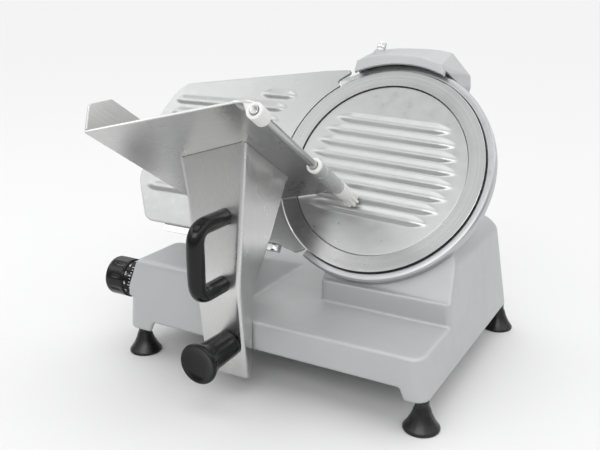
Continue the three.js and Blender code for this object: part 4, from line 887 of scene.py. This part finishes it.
def fluted(count, depth, low, high, sharpness=1.0, fade=1.5):
    """Grooves round a grip between two heights."""
    def groove(angle, height):
        mask = smooth_step(height, low, low + fade) * smooth_step(-height, -high, -high + fade)
        return depth * mask * max(0.0, cos(count * angle)) ** sharpness
    return groove


screw = lathe(
    [(0, 6.9), (1.25, 6.9), (1.25, 12.6), (1.6, 13), (3.6, 13), (5.2, 12.4), (5.5, 11.8), (5.5, 5.4),
     (5.2, 4.9), (4.2, 4.4), (4.2, 3.2), (5.2, 2.8), (5.5, 2.3), (5.5, 1.0), (5, 0.4), (2.5, 0.4),
     (2.5, -13.6), (2.1, -14), (0, -14)],
    144, groove=fluted(24, 0.35, 4.6, 12.2, 1.0, 0.4))
piece("knurled_screw", screw, placement(BLADE_MM @ shifted(*SCREW_CENTRE) @ ALONG_Y),
      "sharpener_screw", "polished_steel", "sharpener_lock_screw", sharp=40)
BUTTON_PROFILE = [
    (0, -48.3), (6, -48.3), (7, -47.3), (7, -39.6), (6.7, -39.3), (5, -39.3), (5, -20.3), (3, -20.3),
    (3, -15), (0, -15),
]
for kind, x in (("grind", -BUTTON_X), ("hone", BUTTON_X)):
    piece(f"{kind}_push", lathe(BUTTON_PROFILE, 48), placement(BLADE_MM @ shifted(x, BUTTON_Y, 0)),
          f"{kind}_push_unit", "black_plastic", f"{kind}_button")


# Gauge plate

GAUGE_ARC = 127.0
GAUGE_REACH, GAUGE_DEPTH = 339.5, 110.1
GAUGE_RIBS, GAUGE_RIB_TOP, GAUGE_RIB_PITCH, GAUGE_RIB_END = 9, 82, 18, 155
GAUGE_RIGHT_TOP = [
    (-0.5543, 0.9832), (-0.544, 0.9495), (-0.6513, 0.8656), (-0.6521, 0.836), (-0.6119, 0.801),
]
GAUGE_RIGHT_FOOT = [(-0.5, -0.8697), (-0.604, -0.9297)]
GAUGE_LEFT = [
    (-0.2987, -1), (-0.8816, -0.9944), (-0.9072, -0.9538), (-0.9708, -0.6223), (-0.9935, -0.486),
    (-1, 0.2997), (-0.9853, 0.4388), (-0.9564, 0.625), (-0.9396, 0.7176), (-0.9102, 0.7922),
    (-0.8878, 0.8147), (-0.2981, 1.0891),
]


def on_arc(outer, inner):
    """Where the line between two points crosses the arc beside the blade."""
    outer, inner = Vector(outer), Vector(inner)
    low, high = 0.0, 1.0
    for _ in range(40):
        middle = (low + high) / 2
        if outer.lerp(inner, middle).length > GAUGE_ARC:
            low = middle
        else:
            high = middle
    return outer.lerp(inner, low)


def gauge_outline():
    top = [(x * BLADE_RADIUS, y * BLADE_RADIUS) for x, y in GAUGE_RIGHT_TOP]
    foot = [(x * BLADE_RADIUS, y * BLADE_RADIUS) for x, y in GAUGE_RIGHT_FOOT]
    left = [(x * GAUGE_REACH, y * GAUGE_DEPTH) for x, y in GAUGE_LEFT]
    first, last = on_arc(top[-2], top[-1]), on_arc(foot[1], foot[0])
    from_deg = degrees(atan2(first.y, first.x))
    to_deg = degrees(atan2(last.y, last.x)) + 360
    corners = [*top[:-1], tuple(first)]
    radii = [2.0, 2.0, 4.0, 3.0, 2.2]
    edge = arc(0, 0, GAUGE_ARC, from_deg, to_deg, 120)[3:-3]
    tail = [tuple(last), foot[1], *left]
    tail_radii = [2.4, 6, 6, 14, 14, 30, 30, 30, 20, 20, 14, 14, 14, 30]
    line = filleted([edge[-1], *tail, *corners, edge[0]], [0, *tail_radii, *radii, 0], 4, ring=False)
    return [*line, *edge[1:-1]][::-1]


def gauge_height(x, y):
    height = 0.0
    for i in range(GAUGE_RIBS):
        level = GAUGE_RIB_TOP - GAUGE_RIB_PITCH * i
        if abs(y - level) < 10:
            start = 188 if i == 0 else 322
            end = sqrt(GAUGE_RIB_END ** 2 - level ** 2)
            height += rib(y - level, x, -start, -end, 2.0, 5.4, 7.4, 16)
    return height


piece("ribbed_gauge_plate", relief(gauge_outline(), gauge_height, 5.0, 1.6, 0.8), BLADE_PLANE, "gauge_unit",
      "cast_aluminium", "gauge_plate", sharp=50, weighted=True)


# Carriage arm: a folded plate

ARM_FOLD, ARM_WIDTH, ARM_HEIGHT, ARM_BOTTOM = -75.3, 80.2, 266.0, 21.0
ARM_KNEE_Y, ARM_KNEE_Z, ARM_TOP_Y, ARM_FOOT_Y = -182.4, 131.0, -164.0, -170.5
ARM_THICKNESS, FOLD_RADIUS, FLANGE_DEPTH = 3.0, 4.5, 105.8
ARM_EDGE = [
    (1.128, 1.0489), (1, 0.9023), (0.8815, 0.7669), (0.8192, 0.6692), (0.6758, 0.2857), (0.6796, 0.1617),
    (0.6234, 0),
]
ARM_BACK = [
    (0.1871, 1.0489), (1, 0.8421), (1, 0.788), (0.9442, 0.7744), (0.6276, 0.5714), (0.4669, 0.4812),
    (0.2401, 0.3523), (0.2278, 0.3271), (0.2278, 0.0113), (0.1834, 0),
]


def at_height(line, z):
    """The first number of a line of (value, height), heights falling, at height z."""
    for (a, top), (b, foot) in zip(line, line[1:]):
        if z >= foot:
            return lerp(b, a, min((z - foot) / max(top - foot, 1e-6), 1.0))
    return line[-1][0]


def arm_face(z):
    upper = lerp(ARM_KNEE_Y, ARM_TOP_Y, (z - ARM_KNEE_Z) / (ARM_BOTTOM + ARM_HEIGHT - ARM_KNEE_Z))
    lower = lerp(ARM_KNEE_Y, ARM_FOOT_Y, (ARM_KNEE_Z - z) / (ARM_KNEE_Z - ARM_BOTTOM))
    soft = 0.35
    return soft * log(exp(upper / soft / 4) + exp(lower / soft / 4)) * 4


arm_edge = [(ARM_FOLD - ARM_WIDTH * x, ARM_BOTTOM + ARM_HEIGHT * z)
            for x, z in filleted(ARM_EDGE, 0.12, 5, ring=False)]
arm_back = [(ARM_KNEE_Y + FLANGE_DEPTH * y, ARM_BOTTOM + ARM_HEIGHT * z)
            for y, z in filleted(ARM_BACK, 0.03, 4, ring=False)]


def arm_shape():
    heights = [lerp(ARM_BOTTOM, ARM_BOTTOM + ARM_HEIGHT * ARM_EDGE[0][1], k / 110) for k in range(111)]
    verts = []
    for z in heights:
        face, back = arm_face(z), max(at_height(arm_back, z), arm_face(z) + FOLD_RADIUS + 1)
        edge = at_height(arm_edge, z)
        outer = [(lerp(edge, ARM_FOLD - FOLD_RADIUS, k / 16), face) for k in range(16)]
        outer += arc(ARM_FOLD - FOLD_RADIUS, face + FOLD_RADIUS, FOLD_RADIUS, -90, 0, 7)
        outer += [(ARM_FOLD, lerp(face + FOLD_RADIUS, back, k / 16)) for k in range(1, 17)]
        inner_radius = FOLD_RADIUS - ARM_THICKNESS
        inner = [(lerp(edge, ARM_FOLD - FOLD_RADIUS, k / 16), face + ARM_THICKNESS) for k in range(16)]
        inner += arc(ARM_FOLD - FOLD_RADIUS, face + FOLD_RADIUS, inner_radius, -90, 0, 7)
        inner += [(ARM_FOLD - ARM_THICKNESS, lerp(face + FOLD_RADIUS, back, k / 16)) for k in range(1, 17)]
        verts += [(x, y, z) for x, y in [*outer, *reversed(inner)]]
    count = len(outer) + len(inner)
    faces = walls(len(heights), count)
    half = count // 2
    for row in (0, len(verts) - count):
        for k in range(half - 1):
            faces.append([row + k, row + k + 1, row + count - 2 - k, row + count - 1 - k])
    return verts, faces


arm_look = brushed_metal("brushed_arm", (0.66, 0.66, 0.655), (1600, 1600, 30))
arm = raw_object("folded_arm", arm_shape(), MACHINE)
over_tray = placed(block(-500, 400, -23.3, 400, -400, 400), TRAY_MM)
boolean(arm, raw_object("over_tray", over_tray, MACHINE), "DIFFERENCE")
finished(arm, "carriage", "brushed_metal", "carriage_arm", look=arm_look, bevel=0.5, sharp=30)


# Carriage handle, clamp knob and thickness knob

HANDLE_X, HANDLE_TOP, HANDLE_FOOT, GRIP_Y = -97.0, 206.0, 133.0, -225.0
handle_line = filleted(
    [(arm_face(HANDLE_TOP) - 0.3, HANDLE_TOP), (GRIP_Y, HANDLE_TOP), (GRIP_Y, HANDLE_FOOT),
     (arm_face(HANDLE_FOOT) - 0.3, HANDLE_FOOT)], 19, 14, ring=False)
handle_path = []
for (y0, z0), (y1, z1) in zip(handle_line, handle_line[1:]):
    parts = max(1, round(hypot(y1 - y0, z1 - z0) / 3))
    handle_path += [(HANDLE_X, lerp(y0, y1, k / parts), lerp(z0, z1, k / parts)) for k in range(parts)]
handle_path.append((HANDLE_X, *handle_line[-1]))


def handle_radius(share):
    swell = sin(pi * smooth_step(share, 0.28, 0.72))
    return 9.2 + 0.3 * swell


piece("handle_grip", sweep(handle_path, handle_radius, 40), MACHINE, "carriage", "black_plastic",
      "carriage_handle", sharp=50)

CLAMP_PROFILE = [
    (0, 176.4), (14.2, 176.4), (15.5, 177.6), *[(15.6 + 0.1 * k, 179 + 3 * k) for k in range(11)],
    (16.9, 213), (17.5, 216.5), (18.5, 220), (19.8, 223.4), (21, 226.4), (22.1, 229), (22.5, 230.6),
    (22.4, 231.8), (21.7, 232.9), (20.7, 233.4), (19.5, 233.2), (16, 231.6), (11, 230.4),
    (5, 229.9), (0, 229.8),
]
clamp = lathe(CLAMP_PROFILE, 160, groove=fluted(8, 2.0, 181, 229.5, 2.0, 9))
piece("clamp_grip", clamp, placement(shifted(-94.5, 0, 62) @ ALONG_MINUS_Y), "clamp", "black_plastic",
      "clamp_knob", sharp=50)

KNOB_OUTER, KNOB_INNER = -299.0, -258.6
KNOB_PROFILE = [
    (0, KNOB_OUTER + 1.6), (12, KNOB_OUTER + 1.4), (17, KNOB_OUTER + 0.6), (20, KNOB_OUTER),
    (22, KNOB_OUTER + 0.4), (23.4, KNOB_OUTER + 1.6), (24, KNOB_OUTER + 3.4),
    *[(24, KNOB_OUTER + 5 + 2.2 * k) for k in range(10)], (24, -271.6), (23.4, -270.7), (22.4, -270.5),
    (22, -270.1), (22, -259.4), (21.4, KNOB_INNER), (0, KNOB_INNER),
]
knob_place = placement(DIAL_CENTRE @ ALONG_X)
knob = lathe(KNOB_PROFILE, 200, groove=fluted(9, 1.3, KNOB_OUTER + 7.0, -273.0, 3.0, 6))
piece("dial_knob", knob, knob_place, "thickness_unit", "black_plastic", "thickness_knob", sharp=50)

ink = matt_moulding("dial_ink", (0.8, 0.8, 0.78))
marks = []
for i in range(33):
    long_mark = i % 3 == 0
    tick = block(22.0, 22.12, -0.35, 0.35, -263.4 if long_mark else -261.6, -259.8)
    marks.append(placed(tick, Matrix.Rotation(radians(i * 10), 4, "Z")))
finished(raw_object("dial_marks", joined(*marks), knob_place), "thickness_unit", "pale_plastic", look=ink)
for i in range(10):
    curve = bpy.data.curves.new(f"dial_number_{i}", "FONT")
    curve.body = str(i)
    curve.size = 6 * MM
    curve.extrude = 0.06 * MM
    curve.align_x = "CENTER"
    number = added(f"dial_number_{i}", curve)
    upright = Matrix(((0, 0, 1, 22.05), (0, -1, 0, 0), (1, 0, 0, -268.4), (0, 0, 0, 1)))
    turn = Matrix.Rotation(radians(i * 30), 4, "Z")
    number.matrix_world = placement(DIAL_CENTRE @ ALONG_X @ turn @ upright)
    curve.materials.append(ink)
    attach(number, "thickness_unit")


# Food tray with its fence, lugs, rod, sleeve and end knob

TRAY_LEFT, TRAY_RIGHT, TRAY_TOP = -226.0, -44.0, -20.0
TRAY_NEAR, TRAY_FAR = 2.0, 242.0
TRAY_RIBS, TRAY_RIB_PITCH, TRAY_RIB_INSET = 6, 22, 25


def tray_height(x, y):
    height = 0.0
    for i in range(TRAY_RIBS):
        centre = TRAY_RIGHT - TRAY_RIB_INSET - TRAY_RIB_PITCH * i
        if abs(x - centre) < 6:
            start, end = -TRAY_FAR + TRAY_RIB_INSET, -TRAY_NEAR - TRAY_RIB_INSET
            height += rib(x - centre, y, start, end, 1.5, 4.5, 4.5, 12)
    return height


tray_outline = filleted(
    [(TRAY_LEFT, -TRAY_FAR), (TRAY_RIGHT, -TRAY_FAR), (TRAY_RIGHT, -TRAY_NEAR), (TRAY_LEFT, -TRAY_NEAR)],
    [1, 5, 2, 1], 5)
tray_place = placement(TRAY_MM @ shifted(0, TRAY_TOP, 0) @ ALONG_Y)
tray_look = brushed_metal("brushed_tray", (0.62, 0.62, 0.615), (30, 1600, 1600))
piece("ribbed_tray", relief(tray_outline, tray_height, 3.0, 2.2, 0.7), tray_place, "carriage",
      "brushed_metal", "product_tray", look=tray_look, sharp=50, weighted=True)

fence_outline = filleted([(2, -19.7), (242, -19.7), (242, 9), (210, 30), (2, 30)], [1, 1, 6, 6, 2], 5)
fence_place = placement(TRAY_MM @ shifted(-224.5, 0, 0) @ Matrix.Rotation(-pi / 2, 4, "Y"))
piece("folded_fence", prism(fence_outline, -1.5, 1.5), fence_place, "carriage", "brushed_metal",
      "tray_fence", look=tray_look, bevel=0.6, sharp=30)

ROD_X, ROD_DOWN = -30.4, -37.4
rod_place = placement(TRAY_MM @ shifted(ROD_X, ROD_DOWN, 0))
for name, top in (("upper", 248.0), ("lower", 48.0)):
    low = top - 18
    ring = lathe(filleted([(4.8, low), (8.5, low), (8.5, top), (4.8, top)], 0.9, 3), 64, ring=True)
    foot = -23.3 - ROD_DOWN
    edge = TRAY_RIGHT - ROD_X
    outline = filleted(
        [(edge - 9, foot), (edge - 9, foot - 2.4), (edge + 1.5, foot - 3.6), (-8.6, -1), (-5.9, -1),
         (-3.5, 7.2), (1, 8.4), (edge + 2.5, foot)],
        [0.5, 1.5, 3, 2, 0, 0, 2, 1], 3)
    web = raw_object(f"curled_corner_{name}", prism(outline, low + 0.6, top - 0.6), rod_place)
    cut(web, f"lug_bore_{name}", cylinder(6, low - 2, top + 2, 48), rod_place)
    finished(web, "carriage", "brushed_metal", look=tray_look, bevel=0.5, sharp=40)
    piece(f"moulded_lug_{name}", ring, rod_place, "carriage", "pale_plastic", f"rod_lug_{name}", sharp=40)

rod_look = polished_metal("drawn_rod", (0.5, 0.5, 0.5))
sleeve_look = satin_casting("turned_sleeve", (0.58, 0.58, 0.58))
rod_profile = filleted([(0, 12.5), (4.5, 12.5), (4.5, 249.5), (0, 249.5)], 0.8, 3, ring=False)
piece("polished_rod", lathe(rod_profile, 48), rod_place, "rod_unit", "polished_steel", "pusher_rod",
      look=rod_look)
end_profile = [
    (0, 4.2), (4, 3.8), (7.4, 2.6), (8.6, 2.9), (9, 3.9), (8.8, 5.6), (8.3, 8), (7.7, 11), (7.2, 14),
    (6.8, 17), (6.5, 20), (6.3, 22), (6.3, 24), (6.8, 24.4), (6.8, 29), (6.2, 29.7), (4.8, 29.7), (4.8, 13),
    (0, 13),
]
end_knob = lathe(end_profile, 160, groove=lambda angle, z: (
    2.3 * (0.5 + 0.5 * cos(8 * angle)) ** 1.5 * smooth_step(-z, -22.0, -12.0) if z < 22 else 0.0))
piece("fluted_end_knob", end_knob, rod_place, "rod_unit", "pale_plastic", "rod_end_knob", sharp=50)

SLEEVE_FOOT, SLEEVE_TOP = 48.3, 115.3
sleeve_profile = [
    (4.8, SLEEVE_FOOT), (7.7, SLEEVE_FOOT), (8.25, SLEEVE_FOOT + 0.6), (8.25, 54), (7.9, 54.3), (7.9, 55.3),
    (8.25, 55.6), *[(8.25, 57 + 2 * k) for k in range(20)], (8.25, 97), (7.9, 97.3), (7.9, 98.3),
    (8.25, 98.6), (8.25, 110.6), (7.8, 111), (7.8, SLEEVE_TOP - 3.6), (4.8, SLEEVE_TOP - 3.6),
]


def sleeve_groove(angle, z):
    if not 55.7 < z < 96.9:
        return 0.0
    return 0.3 * max(0.0, cos(24 * angle)) * smooth_step(z, 56, 58) * smooth_step(-z, -96, -94)


sleeve = lathe(sleeve_profile, 144, ring=True, groove=sleeve_groove)
piece("grooved_sleeve", sleeve, rod_place, "sleeve", "polished_steel", "pusher_sleeve",
      look=sleeve_look, sharp=40)
rim_section = [(4.8, SLEEVE_TOP - 3.9), (8.25, SLEEVE_TOP - 3.9), (8.25, SLEEVE_TOP), (4.8, SLEEVE_TOP)]
piece("sleeve_rim", lathe(filleted(rim_section, 0.5, 3), 96, ring=True), rod_place, "sleeve", "pale_plastic")


# Rear lock knob, switch buttons and cord inlet

rear_profile = [
    (4.3, -84.3), (24.2, -84.3), (25, -85.1), (25, -87.6), (24.2, -88.3), (18, -88.5), (17, -89.5),
    *[(17, -90.5 - 2 * k) for k in range(6)], (17, -104.4), (16.4, -105.8), (15, -106.3), (6, -106.3),
    (4.3, -105.6),
]
rear_knob = lathe(rear_profile, 160, ring=True, groove=lambda angle, z: (
    1.7 * max(0.0, cos(10 * angle)) * smooth_step(-z, 88.8, 91.5) if z < -88.6 else 0.0))
piece("rear_knob", rear_knob, BLADE_PLANE, "cover_knob", "black_plastic", "cover_lock_knob", sharp=50)


def wall_place(y, z):
    lean = atan(LEFT_LEAN)
    return placement(shifted(left_wall(z), y, z) @ Matrix.Rotation(lean - pi / 2, 4, "Y"))


switch_place = wall_place(-36, 72)
DOME_PROFILE = [(0, -7.7), (6, -7.7), (6, 6.6), (5.4, 7.5), (4.2, 7.8), (2, 7.9), (0, 7.9)]
for name, y, slot in (("on", 9, "green_plastic"), ("off", -9, "red_plastic")):
    button_place = switch_place @ Matrix.Translation((0, y * MM, 0))
    piece(f"domed_{name}_button", lathe(DOME_PROFILE, 64), button_place, f"switch_{name}", slot,
          f"switch_{name}_button", sharp=50)
inlet_profile = filleted(
    [(4, -6), (6, -6), (6, 0.3), (9, 0.3), (9, 5), (7.6, 8), (6.2, 12), (4, 12)], 0.7, 3)
piece("ribbed_cord_inlet", lathe(inlet_profile, 64, ring=True), wall_place(92, 62), "base", "black_plastic",
      "cord_inlet")


# Plates, bars and small pieces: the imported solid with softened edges

for name in (
    "gauge_support_bar", "gauge_bracket", "bracket_bolt_1", "bracket_bolt_2", "handle_bolt_upper",
    "handle_bolt_lower", "carriage_slide", "slide_shoe", "guide_rail", "switch_box", "bottom_cover",
    "sharpener_post",
):
    modify(NODES[name], "flat_faces", "DECIMATE", decimate_type="DISSOLVE", angle_limit=radians(1))
    modify(NODES[name], "soft_edges", "BEVEL", width=0.35 * MM, segments=2, limit_method="ANGLE",
           angle_limit=radians(35))


# Floor and light

def area_light(name, place, target, size, power):
    data = bpy.data.lights.new(name, "AREA")
    data.shape = "RECTANGLE"
    data.size, data.size_y = size
    data.energy = power
    light = added(name, data)
    light.location = place
    light.rotation_mode = "QUATERNION"
    light.rotation_quaternion = (Vector(target) - Vector(place)).to_track_quat("-Z", "Y")


# The floor darkens in front of the part, so that low and forward-facing metal has something dark to mirror
floor_look = Tree("pale_studio_floor")
floor_look.shade("Roughness", 0.8)
floor_look.shade("Specular IOR Level", 0)
along_floor = floor_look.node("ShaderNodeSeparateXYZ")
floor_look.link(floor_look.coordinates, along_floor.inputs[0])
paper = floor_look.remap(along_floor.outputs["Y"], 0.0, 1.0, -1.8, -0.6)
floor_look.base(floor_look.colours(paper, (0.34, 0.34, 0.341), (0.74, 0.74, 0.742), 0.0, 1.0))
FLOOR_FRONT, FLOOR_REAR, FLOOR_SIDE = -40.0, 45.0, 40.0
floor_data = bpy.data.meshes.new("studio_floor")
floor_data.from_pydata(
    [(-FLOOR_SIDE, FLOOR_FRONT, 0), (FLOOR_SIDE, FLOOR_FRONT, 0),
     (FLOOR_SIDE, FLOOR_REAR, 0), (-FLOOR_SIDE, FLOOR_REAR, 0)],
    [], [(0, 1, 2, 3)])
floor_data.materials.append(floor_look.material)
added("studio_floor", floor_data)

# The studio around the part, by height: dark below, then bright, dim and bright, and a little lighter behind

SKY_STRENGTH = 1.95
SKY_BANDS = [
    (0.0, 0.10), (0.5, 0.10), (0.53, 0.15), (0.6, 0.22), (0.72, 0.4), (0.78, 0.9), (0.835, 0.8),
    (0.875, 0.24), (0.91, 0.2), (0.94, 0.9), (1.0, 0.95),
]
world = bpy.data.worlds.new("studio")
world.use_nodes = True
sky = Graph(world.node_tree)
directions = sky.node("ShaderNodeTexCoord").outputs["Generated"]
height = sky.node("ShaderNodeSeparateXYZ")
sky.link(directions, height.inputs[0])
halved = sky.node("ShaderNodeMath", {1: 0.5, 2: 0.5}, operation="MULTIPLY_ADD")
sky.link(height.outputs["Z"], halved.inputs[0])
bands = sky.node("ShaderNodeValToRGB")
bands.color_ramp.interpolation = "EASE"
while len(bands.color_ramp.elements) < len(SKY_BANDS):
    bands.color_ramp.elements.new(0.5)
for element, (position, level) in zip(bands.color_ramp.elements, SKY_BANDS):
    element.position = position
    element.color = (level, level, level, 1)
sky.link(halved.outputs[0], bands.inputs["Fac"])
behind = sky.node("ShaderNodeMapRange", {"From Min": 0.05, "From Max": 0.5, "To Max": 0.08})
sky.link(height.outputs["Y"], behind.inputs["Value"])
levels = sky.node("ShaderNodeMath", operation="ADD")
sky.link(bands.outputs["Color"], levels.inputs[0])
sky.link(behind.outputs["Result"], levels.inputs[1])
background = sky.tree.nodes["Background"]
sky.link(levels.outputs[0], background.inputs["Color"])
background.inputs["Strength"].default_value = SKY_STRENGTH
bpy.context.scene.world = world

area_light("key", (-1.6, -0.7, 1.9), (0, 0, 0.15), (1.2, 1.2), 2.5)
area_light("front", (0.5, -1.9, 1.5), (0, 0, 0.1), (2.0, 0.8), 12)
area_light("side", (2.2, 0.3, 1.1), (0, 0, 0.15), (1.0, 1.4), 0.5)

bpy.context.scene.view_settings.view_transform = "Standard"
